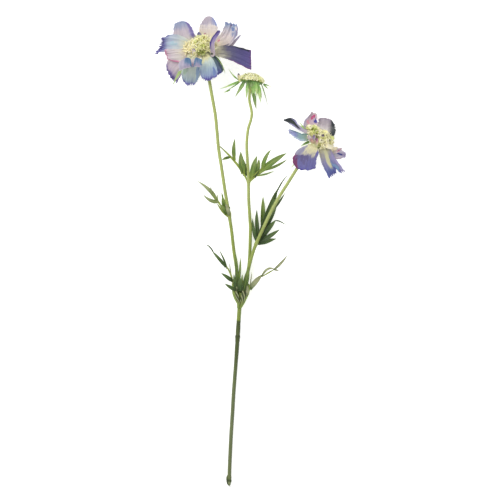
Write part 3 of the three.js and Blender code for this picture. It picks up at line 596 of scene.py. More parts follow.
stemHues = {  # share of the length from the foot, and the hue there
    # painted shade: in "low" the dark band from 0.024 to 0.03 darkens the groove near the cut
    "low": [(0.0, "727c52"), (0.018, "8a946c"), (0.024, "46522a"), (0.03, "3f4b26"), (0.036, "6c7649"),
            (0.3, "6d7750"), (0.58, "647044"), (0.66, "4e5b2c"), (0.768, "485626"), (0.776, "323f18"),
            (0.784, "556034"), (0.835, "465324"), (0.852, "425023"), (0.86, "82933f"), (1.0, "889a49")],
    "high": [(0.0, "86993f"), (0.15, "90a04c"), (0.35, "9aa756"), (0.5, "adb86e"), (1.0, "b4be74")],
    "down": [(0.0, "c4cc96"), (1.0, "dde2bd")],
}


def makeStems():
    dull = stemMaterial("lower_stem", stemHues["low"], "8f9a78", stemLook["ribs"])
    green = stemMaterial("flower_stalk", stemHues["high"], "a4b070", stemLook["ribs"])
    downy = stemMaterial("stem_down", stemHues["down"], "ffffff", 1)
    body, _ = stemBody(mainStem)
    makePiece("stem", [body, *cutEndParts()], dull, "lower_stem", ["main_stem"])
    down = []
    for name, stalk in stalks.items():
        body, skin = stemBody(stalk)
        makePiece("stalk_of_" + name, [body], green, "flower_stalk", ["stalk_" + name])
        down += hairsOn(*skin)
    makePiece("stalk_down", down, downy, "flower_stalk")
    print("stem and stalks are made")


makeStems()


sheath = {  # rings are level, middle X and Z, and half widths across and up
    "rings": [
        [-9, -1.9, 2.6, 2.3, 2.2], [-4.1, -0.3, 3.2, 3.9, 3.0], [0.9, -0.6, 4.0, 6.6, 4.0],
        [6.4, -0.2, 5.0, 8.9, 5.0], [12, 0.1, 5.7, 9.8, 5.6], [17, 0.5, 6.2, 10.2, 6.0],
    ],
    "slit": (62.0, 104.0),  # in degrees round
    "wall": 0.55, "ripple": 1.3, "rows": 26, "columns": 64, "veins": 15, "low": 0.35,
}


def sheathMaterial():
    # Dry, papery leaf base: grey-green with pale veins that wind round it, green at its foot and its flanks
    material, tree = newMaterial("leaf_sheath")
    _, along, around, _, _ = readPlace(tree)
    flank = calc(tree, "ABSOLUTE", calc(tree, "COSINE", calc(tree, "MULTIPLY", around, fullTurn)))
    twist = calc(tree, "MULTIPLY_ADD", along, 0.26, around)
    wave = calc(tree, "COSINE", calc(tree, "MULTIPLY", twist, fullTurn * sheath["veins"]))
    veined = ramp(tree, wave, [(0.05, "3f4b28"), (0.3, "6f7650"), (0.7, "858b62"), (0.97, "aeb286")])
    fresh = calc(tree, "MAXIMUM", remap(tree, along, 0.0, 0.4, 1.0, 0.0), remap(tree, flank, 0.62, 0.86))
    mottle = remap(tree, clouds(tree, 3.0, 3.0), 0.3, 0.7, 0.85, 1.1)
    toned = lit(tree, layHue(tree, veined, "83993c", fresh), mottle)
    return finishMaterial(material, toned, wave, 0.15, leafTissue)


def makeSheath():
    # thin joined leaf bases, open in a slit on the upper side
    rings = np.array(sheath["rings"])
    t = np.linspace(0, 1, sheath["rows"])[:, None]
    start, end = (math.radians(a) for a in sheath["slit"])
    angle = np.linspace(end, start + fullTurn, sheath["columns"])[None, :]
    level = rings[0, 0] + (rings[-1, 0] - rings[0, 0]) * t
    x, z, wide, high = (np.interp(level[:, 0], rings[:, 0], rings[:, k])[:, None] for k in (1, 2, 3, 4))
    gape = smoothstep(t, 0.25, 1.0)
    middle = (start + end) / 2 + math.pi
    angle = middle + (angle - middle) * (1.0 + (1 - gape) * 0.11)
    flute = 1 + 0.02 * np.cos(angle * 11) * t
    y = level + sheath["ripple"] * t**6 * np.sin(angle * 3.3 + 0.6)
    mid = np.stack([x - wide * flute * np.cos(angle), y, z + high * flute * np.sin(angle)], axis=-1)
    mid[..., 2] = np.maximum(mid[..., 2], sheath["low"])
    points, faces = closedSheet(mid, sheath["wall"])
    place = sheetMap(t, (angle / fullTurn) % 1)
    makePiece("sheath", [(points, faces, place)], sheathMaterial(), "leaf_sheath", ["fork_sheath"])
    print("sheath is made")


makeSheath()


bladeLook = {"rows": 30, "columns": 11, "thickness": 0.42, "keel": 0.22, "groove": 0.12, "ridge": 0.28}
greens = {  # foot, blade, tip, underside and rib
    "dark": ("263c12", "3b5224", "546a36", "7c8564", "5e7a36"),
    "fork": ("283a0c", "4a641f", "7a8e48", "7c8a5c", "84a040"),
    "fresh": ("7f9236", "5f7d33", "7b9150", "93a370", "a5b458"),
    "sage": ("7f8f48", "788850", "98a274", "93a070", "a9b268"),
    "pale": ("48582f", "9fa47e", "8c9068", "8d9468", "b2b880"),
    "rib": ("93a340", "9cab4c", "8c9c48", "97a558", "b4be6a"),
}
leaves = {
    "leaf_fork_left": [
        ["dark", [-16.6, 36, 11.8], [-23.8, 44.9, 11.8], [-32, 54, 10.2], 1.9],
        ["dark", [-30, 51.6, 10.4], [-34.1, 58, 9.6], [-38.8, 61, 9], 0.8],
        ["rib", [-8.3, 14.3, 6.4], [-11.6, 29, 10.8], [-18.2, 39.8, 11.9], 1.0],
        ["dark", [-15.4, 34.2, 11], [-18.9, 44.6, 12.4], [-24.2, 55.6, 12], 1.0],
        ["pale", [-10.3, 25.3, 9.6], [-11.9, 34.1, 11.4], [-12.5, 41.2, 12], 0.5],
        ["dark", [-9, 20.6, 8.4], [-14.6, 24.8, 10.8], [-21.8, 29.6, 10], 2.2],
        ["dark", [-4.4, 10.8, 9.2], [-10.5, 13.4, 11.4], [-18, 18.2, 12], 2.1],
    ],
    "leaf_fork_right": [
        ["pale", [9.9, 11.6, 6.4], [16.5, 20.9, 10.2], [23.7, 27.9, 12.1], 2.9],
        ["rib", [22.6, 25.4, 11.9], [30.8, 30.3, 12.6], [39, 35, 12.4], 0.8],
        ["pale", [22.7, 26, 12.3], [29.3, 33.9, 14.2], [37, 33.9, 13.4], 1.4],
        ["pale", [36.3, 33.6, 13.2], [43.2, 39.8, 12], [51.3, 49.2, 10], 1.5],
        ["pale", [35.2, 34, 13.2], [38.5, 33.1, 13.1], [41.9, 32.4, 13], 1.0],
        ["pale", [10, 13, 7.6], [10.9, 22, 10], [12, 31, 11], 0.6],
    ],
    "leaf_fork_upright": [
        ["fork", [-5, 12.1, 10.6], [-4.8, 33, 12], [-6.4, 53.9, 12.8], 2.0],
        ["fork", [-2.8, 12.4, 10.5], [-1.3, 30.8, 12.2], [-0.4, 46.6, 11.6], 1.3],
        ["fork", [0, 12.3, 10.6], [0.9, 20.9, 12.2], [1.4, 28, 12.6], 1.4],
        ["fork", [2.8, 10.1, 10.8], [5.8, 23.1, 13], [8.8, 37.2, 13.4], 3.1],
        ["dark", [-5.9, 11, 10.2], [-7, 19.8, 12.2], [-7.9, 28.4, 12.6], 1.7],
        ["dark", [-0.4, 9.6, 10.2], [-0.8, 16.5, 11.6], [-1.1, 25, 12], 3.2],
        ["pale", [6.4, 4.6, 10], [7.2, 10.4, 12], [6.6, 17.4, 12], 1.6],
    ],
    "leaf_left_outer": [
        ["fork", [-15, 93.4, 12.2], [-18.6, 99.4, 14.4], [-23.4, 105.6, 15.4], 2.3],
        ["rib", [-14.7, 91.8, 12], [-20.9, 98.4, 14.2], [-26.6, 106.8, 15.4], 1.2],
        ["rib", [-21.7, 102.4, 15], [-24.8, 107.8, 15.6], [-28.8, 112.8, 16.2], 1.1],
        ["sage", [-27.4, 109.8, 16], [-33.8, 119.9, 16.6], [-47.8, 131, 13.5], 2.2],
        ["sage", [-24.4, 108.4, 15.8], [-32.5, 109, 16], [-41.3, 115.6, 13.5], 2.1],
        ["sage", [-25, 107.4, 15.6], [-26, 112.2, 17.1], [-25.9, 116.4, 17.5], 0.8],
        ["pale", [-31.6, 116.8, 16.8], [-32.3, 121, 18], [-33.9, 124.8, 18], 0.5],
    ],
    "leaf_left_inner": [
        ["fork", [-14.6, 94.4, 11], [-18.4, 104.5, 11], [-20.4, 114.6, 9.6], 2.8],
        ["fork", [-19.6, 109, 10.2], [-20.4, 114, 9.4], [-21.4, 118.8, 8.2], 0.9],
        ["pale", [-13.6, 93, 14.3], [-14.7, 100.6, 14.9], [-17.2, 105.6, 14.2], 1.9],
        ["dark", [-14, 98, 12.4], [-13, 101, 12.6], [-12, 102.6, 12], 1.0],
    ],
    "leaf_middle_left": [
        ["rib", [6.4, 131.8, 10.2], [-6.1, 151.3, 12.8], [-29.2, 174.4, 9], 1.3],
        ["fresh", [-7, 153.4, 12.8], [-8, 165, 13.6], [-6.6, 177.8, 12.6], 2.2],
        ["fork", [-11.4, 157, 12.5], [-16.5, 156.2, 12], [-20.9, 153.8, 10.5], 1.6],
        ["fresh", [2.6, 138.6, 11.9], [0.6, 150.2, 13.4], [-0.3, 163, 12.8], 3.5],
        ["fork", [4, 136.4, 11.2], [3.2, 146.3, 12.2], [1.2, 157.4, 12], 2.8],
        ["fork", [5, 136, 10.9], [5.6, 142, 8], [5.4, 150, 7], 1.5],
    ],
    "leaf_middle_right": [
        ["rib", [8.6, 129.6, 10.4], [21, 141.4, 13.4], [35, 149.2, 14], 2.0],
        ["fresh", [19, 139.2, 13], [34.6, 151.8, 14.9], [50, 161.4, 11.5], 3.3],
        ["fresh", [23.4, 142.4, 13.8], [26.3, 154.6, 15.5], [32.8, 165.2, 14.5], 2.3],
        ["fresh", [25, 142.6, 13.8], [39.1, 147.6, 14.5], [51.2, 155, 11.5], 1.5],
        ["fresh", [17.6, 136.6, 12.2], [27.5, 138.6, 13], [36.2, 141.8, 11.5], 1.0],
        ["fresh", [11, 132.2, 10.9], [14, 146.3, 13.2], [17.7, 158.6, 12.4], 3.0],
        ["fork", [14.6, 135, 12], [18.4, 145.2, 13.8], [19.7, 155, 13.5], 2.6],
    ],
    "leaf_right_broad": [
        ["dark", [18.1, 61.4, 9.2], [31.2, 98.2, 6.6], [40.4, 122.4, 7], 3.8],
        ["dark", [36.6, 111.6, 6.8], [43.2, 126.4, 7.2], [51.2, 137.2, 7.6], 0.8],
        ["dark", [17.6, 62.7, 8], [14.3, 75.9, 6.4], [12.6, 89.6, 4], 2.0],
        ["dark", [19.8, 66.2, 7.4], [17.5, 83.6, 6.6], [17.6, 99.8, 4.6], 2.3],
        ["fork", [23.8, 72.8, 6.4], [24.1, 95.6, 5.6], [24.3, 114.2, 3.6], 2.7],
        ["dark", [24.6, 75, 6.4], [33, 93, 6], [39, 104.4, 5], 3.5],
        ["dark", [37.8, 101.4, 5.4], [42.8, 108.8, 6], [49, 118.4, 5], 1.2],
        ["dark", [21, 65.6, 6.8], [30.4, 79, 7.2], [38.5, 87.9, 8.1], 2.8],
        ["dark", [37.2, 87.3, 8.1], [42.9, 86.4, 8.4], [50.4, 82, 8.5], 0.7],
        ["dark", [20.6, 63.9, 7.6], [32.1, 70.6, 7.8], [42.5, 77.6, 6], 2.5],
        ["dark", [18.6, 61.6, 8], [28.6, 64.8, 6.4], [38.6, 67.4, 4], 2.5],
    ],
}


def lobeWidth(t):
    return (0.62 + 0.38 * smoothstep(t, 0, 0.35)) * (1 - (np.maximum(0, t - 0.4) / 0.61) ** 2)


def bractWidth(t):
    return (0.6 + 0.4 * smoothstep(t, 0, 0.4)) * (1 - (np.maximum(0, t - 0.3) / 0.71) ** 1.6)


def blade(start, via, end, half, share, tone, roll, wave):
    # one pointed blade with its keel, its midrib and a slight wave along its margins
    t = np.linspace(0, 1, bladeLook["rows"])[:, None]
    x = np.linspace(-1, 1, bladeLook["columns"])[None, :]
    place, way = throughThree(*(np.array(p, float) for p in (start, via, end)), t[:, 0])
    side, normal = sectionAxes(way, roll * np.sin(t[:, 0] * math.pi))
    width = half * np.maximum(0.09, share(t))
    ripple = wave * x**2 * np.sin(t * 9 + tone * 20) * smoothstep(t, 0.1, 0.5)
    lift = bladeLook["keel"] * width * np.abs(x) ** 1.4 + ripple
    mid = place[:, None] + side[:, None] * (width * x)[..., None] + normal[:, None] * lift[..., None]
    rib = np.exp(-((x / 0.2) ** 2)) * np.minimum(1, width / 1.2) * (1 - 0.6 * t)
    thickness = bladeLook["thickness"] * (1 - 0.5 * x**2) * np.minimum(1, 0.3 + width)
    points, faces = closedSheet(mid, thickness, bladeLook["groove"] * rib, bladeLook["ridge"] * rib)
    return points, faces, sheetMap(t, (x + 1) / 2, tone)


def makeLeaves():
    stuff = {name: leafMaterial(name + "_leaf", *codes) for name, codes in greens.items()}
    slots = {"dark": "dark_leaf", "fork": "dark_leaf"}
    for name, blades in leaves.items():
        kinds = {}
        for i, (kind, *points, half) in enumerate(blades):
            tone = 0.5 + 0.35 * math.sin(i * 2.3 + len(name))
            part = blade(*points, half, lobeWidth, tone, 0.3 * math.sin(i * 1.9 + 1), 0.25)
            kinds.setdefault(kind, []).append(part)
        for kind, parts in kinds.items():
            title = name.replace("leaf_", "foliage_") + "_" + kind
            makePiece(title, parts, stuff[kind], slots.get(kind, "leaf"), [name])
    print("leaves are made")


makeLeaves()


bracts = {  # azimuth round the head, length, half width, lean back and further droop, in degrees and mm
    "left": [
        [14, 22, 1.6, 40, 16], [52, 20, 1.5, 44, 10], [96, 21, 1.6, 40, 6], [133, 22, 1.6, 34, 10],
        [171, 21, 1.6, 34, 12], [196, 20, 1.5, 44, 10], [246, 20, 1.5, 52, 10],
        [282, 20, 1.5, 58, 10],
    ],
    "right": [
        [20, 20, 1.5, 42, 8], [64, 18, 1.5, 38, 8], [104, 20, 1.5, 40, 10], [146, 28, 1.6, 20, 4],
        [184, 22, 1.6, 34, 12], [222, 13, 1.5, 50, 10], [262, 37, 1.9, 56, -4], [306, 20, 1.5, 50, 10],
        [344, 14, 1.5, 20, 10],
    ],
}
setBracts = {  # foot, middle and tip from the head's centre, half width, and how light
    "left": [
        [[7.6, -4, -3], [18.8, -12.2, 0], [25.8, -25.4, -4], 2.0, 0.5],
        [[-7.6, -6, -4], [-21.3, -20.6, 3], [-32.2, -39.8, -4], 2.3, 0.2],
    ],
    "right": [
        [[-8, 4, -3], [-13.6, 14, -2], [-18.8, 21, -4], 1.0, 0.7],
        [[-1, -3, -3.4], [1.6, -6.6, -2.6], [3.6, -11, -4], 1.7, 0.1],
    ],
    "bud": [
        [[-14.4, 0.2, 1], [-20.4, 5.2, 3], [-25.4, 12, 5], 0.9, 0.6],
        [[-11.9, -0.4, 2], [-22.6, -5.1, 2], [-35.6, -9.8, 0], 1.35, 0.8],
        [[-13, -2, -1], [-20.4, -7, -2], [-30.8, -13.3, -4], 0.7, 0.8],
        [[-23.6, -10.4, -2.6], [-27.4, -12, -3.2], [-31.2, -13.4, -3.8], 0.9, 0.2],
        [[-7.8, -1.2, 8], [-12.3, -9, 9], [-18.4, -18.8, 6], 2.1, -0.3],
        [[-0.8, -1.6, 10.8], [-0.8, -5.5, 12.4], [-0.4, -9.8, 12], 2.3, -0.9],
        [[-4.3, -2.4, 10.5], [-5.2, -11.2, 11.5], [-6.2, -20.4, 10], 1.5, 0.7],
        [[-4.7, -2.6, 9.4], [-3.4, -7.2, 10.8], [-1.9, -11.2, 10], 1.1, -0.9],
        [[1.7, -1.2, 11.5], [1.8, -13, 12.6], [3.6, -25, 11], 2.2, 0.5],
        [[2.4, -13, 12.2], [3.2, -23, 12.6], [5, -32.4, 10], 2.0, -0.8],
        [[4.1, -1.8, 11.6], [4.8, -9.4, 13.6], [5.7, -19, 12.4], 1.9, 0.75],
        [[6.4, -2, 10], [7.8, -13.4, 12], [9.8, -25, 10], 2.2, 0.9],
        [[9.8, -3.4, 7], [13.4, -13, 8], [18.2, -30.6, 5], 0.6, -0.8],
        [[12.6, -4.4, 4], [15.3, -7.2, 4], [18, -9.8, 3], 0.9, 0.4],
        [[13.2, -4, 0], [17.3, -5.5, -1], [22.2, -7.6, -2], 0.7, 0.8],
        [[0, -2.6, -10.8], [1, -13, -12.6], [2.4, -23, -11], 1.9, 0.4],
        [[-5, -2.6, -9], [-5.4, -11, -11.6], [-5.6, -18.6, -11], 1.6, 0.3],
        [[7, -3, -8.6], [9, -11.6, -11], [11, -19.6, -11], 1.6, 0.5],
        [[-9.5, -3, -5], [-12, -8.5, -6.6], [-16.4, -15.4, -7], 1.1, 0.5],
    ],
}
cups = {  # how far out the bracts' cup reaches, its foot and its top along the head's axis
    "left": (7, -5.4, -1.2), "right": (7, -5.4, -1.2), "bud": (12.4, -4.2, -1.4),
}
cupLook = {"sides": 36, "foot": 2.2, "lip": 1.4, "tone": -0.3, "wave": 0.15, "tableGap": 0.7}


def turned(head, centre, profile, sides, tone=0.5, reach=1.0):
    # a turned body in a head's frame, from pairs of distance from the axis and height along it
    profile = np.array(profile, float)
    angle = np.arange(sides) / sides * fullTurn
    r, z = profile[:, :1], profile[:, 1:]
    points = inHead(head, centre[0] + r * np.cos(angle), centre[1] + r * np.sin(angle), z + 0 * angle)
    share = np.linspace(0, reach, len(profile))[:, None] + 0 * angle
    faces = gridFaces(len(profile), sides, wrap=True, flip=True)
    around = np.tile(angle / 6.3, len(profile))
    return points.reshape(-1, 3), faces, mapOf(share.size, share, around, 0, tone)


def bractBlade(head, radius, high, azimuth, length, half, lean, droop, tone):
    turn = math.radians(azimuth)
    lower, upper = math.radians(lean), math.radians(lean + droop)
    steps = [(0, 0), (math.cos(lower), math.sin(lower)),
             (math.cos(lower) + math.cos(upper), math.sin(lower) + math.sin(upper))]
    points = []
    for out, down in steps:
        r, z = radius - 1.6 + out * length / 2, high - 1.1 - down * length / 2
        point = inHead(head, r * math.cos(turn), r * math.sin(turn), z)
        point[2] = max(point[2], cupLook["tableGap"])
        points.append(point)
    return blade(*points, half, bractWidth, tone, 0.25 * math.sin(azimuth), cupLook["wave"])


def makeBracts():
    fresh = leafMaterial("green_bract", "44702c", "8bb65c", "b9cf8c", "86a964", "bcd488")
    for name, (rim, low, high) in cups.items():
        head, lip = heads[name], high - cupLook["lip"]
        profile = [(0.01, low), (cupLook["foot"], low), (rim * 0.62, low + 1.2), (rim * 0.93, lip - 0.5),
                   (rim, lip + 0.5), (rim * 0.97, high), (rim * 0.7, high), (0.01, high)]
        parts = [turned(head, (0, 0), profile, cupLook["sides"], cupLook["tone"], 0.3)]
        for i, bract in enumerate(bracts.get(name, [])):
            parts.append(bractBlade(head, rim, high, *bract, 0.5 + 0.4 * math.sin(i * 2.1)))
        for *points, half, tone in setBracts[name]:
            places = [head["centre"] + np.array(point, float) for point in points]
            parts.append(blade(*places, half, bractWidth, tone, 0.0, cupLook["wave"]))
        node = "bud_bracts" if name == "bud" else "bloom_" + name + "_bracts"
        makePiece("green_cup_" + name, parts, fresh, "bract", [node])
    print("bracts are made")


makeBracts()


petalLook = {"grid": (48, 46), "budGrid": (24, 18), "thickness": 0.32, "tableGap": 0.2}
petalRoot = {"outer": 8.5, "clearOfFlorets": 14, "shortest": 17, "lower": -0.35, "upper": 0.2}
receptacle = {  # its profile is radius and height
    "sides": 32, "profile": [(0.01, -0.9), (8.6, -0.9), (9.4, -0.3), (9.0, 0.5), (5, 1.0), (0.01, 1.1)],
}

# Shape: line runs on from the claw to the tip and points are a whole line, from the head's centre; half is
# half the widest width; turn is roll and twist in degrees, and how far it curls up across; swell is the
# height, count and start of its broad waves; sides are shares of half from foot to tip for the left and
# the right margin; ends are shares of the length from right to left; ruffle is the height and count of its
# fine frills, jag the depth and count of the tip's notches, pleats the count and depth of lengthwise
# pleats; cleft is the place, width and depth of a cut in the tip, crease the place and height of a fold
# across, crumple the strength of small folds, scallop that of its scalloped margins; azimuth is the side of
# the head that its claw is on, if not the one it leans to; sideward is the way that its width runs.
# Colour: hues run from foot to tip; left and right are (hue, share of the width, where it starts) seen from
# the foot; rim is (hue, width); patches are (hue, along, across, half length, half width); stir is how far
# the hues run into each other.
smallPetal = dict(turn=(0, 10, 0.9), swell=(0.4, 1.6, 0.3), sides=[[0.6, 0.9, 1, 0.9, 0.6]] * 2,
                  ends=[0.9, 0.98, 1, 0.98, 0.9])
petals = {
    "left": [
        dict(line=[[-18.4, 15, -10], [-22.2, 33.4, -28]], half=12, turn=(0, -2, 0.4), swell=(0.8, 1.5, 0.4),
             sides=[[0.85, 0.97, 1, 0.9, 0.72], [0.75, 0.88, 0.95, 0.84, 0.58]],
             ends=[0.86, 0.975, 1, 0.995, 0.94], ruffle=(0.15, 15), pleats=(3, 0.12),
             hues="e0dcc4 c6bdba bbb0b5 b8acb4 9a9db2 8894b0", right=("71669c", 0.32, 0.15)),
        dict(line=[[6.9, 18.6, -12], [7.7, 28.5, -26], [7.6, 39, -28]], half=10.4, turn=(0, 3, 0.45),
             swell=(0.5, 1.2, 1.2), sides=[[0.7, 0.95, 1.04, 1, 0.74], [0.7, 0.9, 1, 0.98, 0.74]],
             ends=[0.87, 0.975, 1, 0.975, 0.87], ruffle=(0.08, 15), pleats=(2, 0.1), crease=(0.73, 0.9),
             hues="e8e1b6 dacfb4 d0c2b6 d3c7bc d9d0ca bab2be c0b6be", right=("8f9dc6", 0.45, 0.8)),
        dict(line=[[26.2, 13.1, -5], [33.2, 30.3, -18]], half=10.2, turn=(-8, -6, 0.6),
             swell=(1.4, 2.2, 0.2), sides=[[0.5, 0.66, 0.72, 0.72, 0.72], [0.55, 0.85, 1.02, 1.1, 0.85]],
             ends=[0.9, 0.99, 1, 0.99, 0.97], ruffle=(0.7, 11), pleats=(3, 0.15), crumple=1,
             hues="e8dfb2 ddd0bc d8ccc4 d2c6c3 c4bcbe aeadbc 9fb0c0", right=("8f8aa8", 0.2, 0.5),
             rim=("7d8cb2", 0.09),
             patches=[("7487ae", 0.84, 0.34, 0.08, 0.1), ("d8d2d0", 0.84, 0.16, 0.08, 0.08),
                      ("9298b0", 0.66, 0.2, 0.06, 0.14), ("a06a90", 0.95, 0.5, 0.04, 0.08),
                      ("d07a8c", 0.37, 0.72, 0.035, 0.08)]),
        dict(line=[[13.6, -4, 10.5], [12.9, 7.6, 15.2], [19.9, 20.4, 13.5]], half=3.7, turn=(-50, 36, 1.2),
             swell=(0.6, 1.5, 0.9), sides=[[0.8, 1, 1, 0.9, 0.6]] * 2, ends=[0.95, 1, 1, 1, 0.95],
             ruffle=(0.3, 15), azimuth=-38, hues="d3c8b8 c6b8bc b4a6bb 8d7fb2 6c5f9e",
             left=("4f4290", 0.35, 0.45), right=("cdbecf", 0.3, 0.2)),
        # painted shade: the near-black 2a2b40 left margin stands for the shade along this petal's folded
        # upper edge
        dict(line=[[32.2, -2.6, 4], [54.6, -10.6, -1]], half=10, turn=(-10, -4, 0.25),
             swell=(0.5, 1.2, 2.2), sides=[[0.28, 0.56, 0.74, 0.86, 1], [0.28, 0.7, 0.95, 1.08, 1.2]],
             ends=[1.06, 1.035, 1, 0.96, 0.92], ruffle=(0.1, 15), pleats=(3, 0.2),
             hues="e0dcbe 86847f 5d5b78 58547f 554f82 5c5288", left=("2a2b40", 0.16, 0.52),
             right=("7d4e86", 0.08, 0.5), rim=("6d4a80", 0.04)),
        # painted shade: this petal's greyed, slate hues and dark 43525e left margin are its blue darkened
        # for the shade it lies in
        dict(line=[[13.9, -12.2, 5], [20.4, -25.8, -3]], half=5.6, turn=(8, 8, 0.4), swell=(0.5, 1.4, 0),
             sides=[[0.4, 0.62, 0.86, 1.08, 1], [0.6, 0.9, 1, 1, 0.9]], ends=[1, 1.02, 1, 0.97, 0.9],
             ruffle=(0.25, 15), jag=(0.02, 4), hues="97a688 7d9088 7b909e 7c90a8 7684a8 6a6cae",
             left=("43525e", 0.42, 0.1)),
        dict(line=[[8, -16, 11], [8.4, -34.2, 1.5]], half=10.8, turn=(4, 2, -0.45), swell=(1.3, 2.4, 0.3),
             sides=[[0.4, 0.5, 0.72, 0.92, 0.82], [0.42, 0.8, 1.04, 1.05, 0.82]],
             ends=[0.93, 1, 0.985, 0.94, 0.84], ruffle=(0.7, 17), jag=(0.08, 11), pleats=(4, 0.2),
             hues="e6e2b4 cfdcd0 b8ccd4 a8bdd0 9cacce 7c80be", rim=("6860aa", 0.12),
             patches=[("7f93c4", 0.72, 0.8, 0.2, 0.1)]),
        dict(line=[[-10.1, -20.5, 6], [-13.6, -39.4, -6]], half=11.4, turn=(-6, -4, -0.35),
             swell=(1.4, 2.4, 1.4), sides=[[0.45, 0.66, 0.9, 0.95, 0.74], [0.5, 0.85, 1, 0.98, 0.74]],
             ends=[0.86, 0.96, 1, 0.96, 0.85], ruffle=(0.7, 19), jag=(0.09, 11), pleats=(4, 0.2),
             hues="dcdeb8 cad4c2 bfccc2 bbc8c0 a8b8be 8693b8", rim=("6e68ae", 0.1),
             patches=[("8fa6be", 0.6, 0.85, 0.3, 0.12), ("a3b8a2", 0.55, 0.2, 0.2, 0.12)]),
        dict(line=[[-9, -12.5, 11], [-10.3, -19, 16.5], [-10.6, -17.8, 21], [-10.3, -9.2, 20.4]], half=11.6,
             turn=(0, 0, -0.25), swell=(0.8, 1.8, 2),
             sides=[[0.5, 0.5, 0.6, 0.98, 1], [0.5, 0.62, 0.92, 1.3, 1.1]],
             ends=[0.86, 0.985, 0.97, 1, 0.93], ruffle=(0.4, 15), cleft=(0.1, 0.13, 0.42), azimuth=-124,
             sideward=[1, 0.16, 0], hues="e0d6b8 d8ccc8 cabdc6 c4b2c6 bdaec2 a49eb6 6180a0 5a7a9c",
             right=("c4bccb", 0.3, 0.5)),
        dict(line=[[-21.6, -17.6, 3], [-33.6, -31.6, -9]], half=11.8, turn=(-12, -8, -0.35),
             swell=(1, 2.2, 0.8), sides=[[0.3, 0.3, 0.36, 0.56, 0.7], [0.6, 0.95, 1.26, 1.36, 1.06]],
             ends=[0.8, 0.92, 0.98, 1.02, 1.03], ruffle=(0.6, 17), jag=(0.05, 7), pleats=(3, 0.2),
             hues="e6dab8 dccdc4 d0c2c4 c8bac0 b8a8ba 8c7ea8", rim=("5f5190", 0.17)),
        dict(line=[[-23.9, -3.4, 6], [-39.8, -5.2, 5]], half=9, turn=(2, 6, 0.35), swell=(1.2, 2, 2.6),
             sides=[[0.6, 0.9, 1.22, 1.05, 0.62], [0.4, 0.42, 0.5, 0.6, 0.7]],
             ends=[1, 1.01, 1, 0.97, 0.96], ruffle=(0.6, 15), jag=(0.04, 5), pleats=(4, 0.35),
             hues="ebe2b4 eae2c4 e0d8cc d6ccc8 cfc4c6 cdb6c0", left=("cd7f9e", 0.12, 0.5),
             rim=("c98aa4", 0.06)),
        dict(line=[[-27, 6.6, -3], [-47, 8.1, -12]], half=10.8, turn=(4, 4, 0.45), swell=(1.8, 2.6, 0.2),
             sides=[[0.45, 0.55, 0.66, 0.92, 1.24], [0.45, 0.8, 0.98, 1, 0.8]],
             ends=[0.84, 0.96, 1.01, 1.02, 1.08], ruffle=(1.5, 23), jag=(0.18, 11), pleats=(3, 0.2),
             hues="e2e2c0 ccd2ca bcc6ca b2bcc8 a2acc4 7a78b0", rim=("645e9a", 0.28),
             patches=[("a8c0c8", 0.6, 0.5, 0.14, 0.14)], stir=0.45),
        dict(line=[[20, 1.5, -2], [30.2, 4.3, -3], [42.8, 16.9, -7]], half=3.5, turn=(14, 10, 1),
             swell=(0.5, 1.3, 0.5), sides=[[0.7, 1.2, 1.3, 0.7, 0.2], [0.5, 0.9, 0.9, 0.6, 0.2]],
             ends=[0.93, 0.99, 1, 0.99, 0.93], ruffle=(0.3, 15),
             hues="e8e2c0 e0d8c8 d6cdc6 ccc2c2 b8acba 9c90b4", left=("8d8aa2", 0.25, 0.4)),
        dict(smallPetal, points=[[-1.8, 10.5, -5.5], [-2.6, 15.5, -4], [-3.2, 20, -4.5]], half=2.9,
             hues="d8dcae ccd0a8 a8a4a4 8480a2 74729a"),
        dict(smallPetal, points=[[3.4, 11.5, -2.5], [3.6, 15, -1], [3.9, 18.8, -1]], half=1.5,
             hues="dcdca4 dca898 c65a70 c4566c bc7a90"),
        dict(smallPetal, points=[[-7.6, -5.4, 9], [-8.3, -2.4, 11], [-8.8, 1.2, 12]], half=2.2,
             hues="e6dfb8 eae2d4 e8deda dccfd8 6f64a4 4d4690"),
    ],
    "right": [
        dict(line=[[10.4, 11, -8], [12.2, 17.5, -21.5], [13.2, 25.4, -22.6]], half=10.6,
             turn=(-2, -2, 0.35), swell=(0.9, 2.2, 0.5),
             sides=[[0.8, 0.96, 1.02, 1.02, 0.92], [1.05, 1.1, 1.06, 1, 0.84]],
             ends=[0.84, 0.96, 1, 1, 0.96], ruffle=(0.35, 19), jag=(0.02, 5), pleats=(5, 0.15),
             scallop=0.16, hues="dad2ba d0c8bf c8bfbc c0b6b8 b9b0b3 a89ea8", right=("2f3639", 0.44, 0.1)),
        dict(line=[[-5.2, 16, -8], [-5.4, 22.5, -13], [-2.2, 31.4, -17]], half=8, turn=(8, 12, 0.7),
             swell=(0.8, 1.6, 1.5), sides=[[1.1, 1.3, 1.08, 0.66, 0.45], [0.7, 0.9, 1, 0.88, 0.7]],
             ends=[0.95, 1.01, 0.98, 1, 0.93], ruffle=(0.4, 15),
             hues="dac8aa c9b4b2 c6b0b8 c5aeb8 cbb5bd d3c2c4", left=("b8afc0", 0.3, 0.1),
             patches=[("bf5580", 0.86, 0.34, 0.1, 0.11), ("bf5580", 0.76, 0.46, 0.1, 0.11),
                      ("d49aa6", 0.52, 0.7, 0.1, 0.12), ("3f3d98", 0.63, 0.12, 0.16, 0.18)]),
        dict(line=[[-19, 13.6, -3], [-27.2, 20.9, -6], [-35.3, 22.8, -8]], half=4.9, turn=(20, 14, 0.9),
             swell=(0.5, 1.4, 0.4), sides=[[0.5, 0.5, 0.75, 1.25, 0.45], [0.5, 0.5, 0.55, 0.9, 0.3]],
             ends=[0.93, 0.99, 1, 0.99, 0.93], ruffle=(0.2, 15),
             hues="cbbfc8 b8aec6 aaa4c6 a39fc4 9295b4 7a7f96",
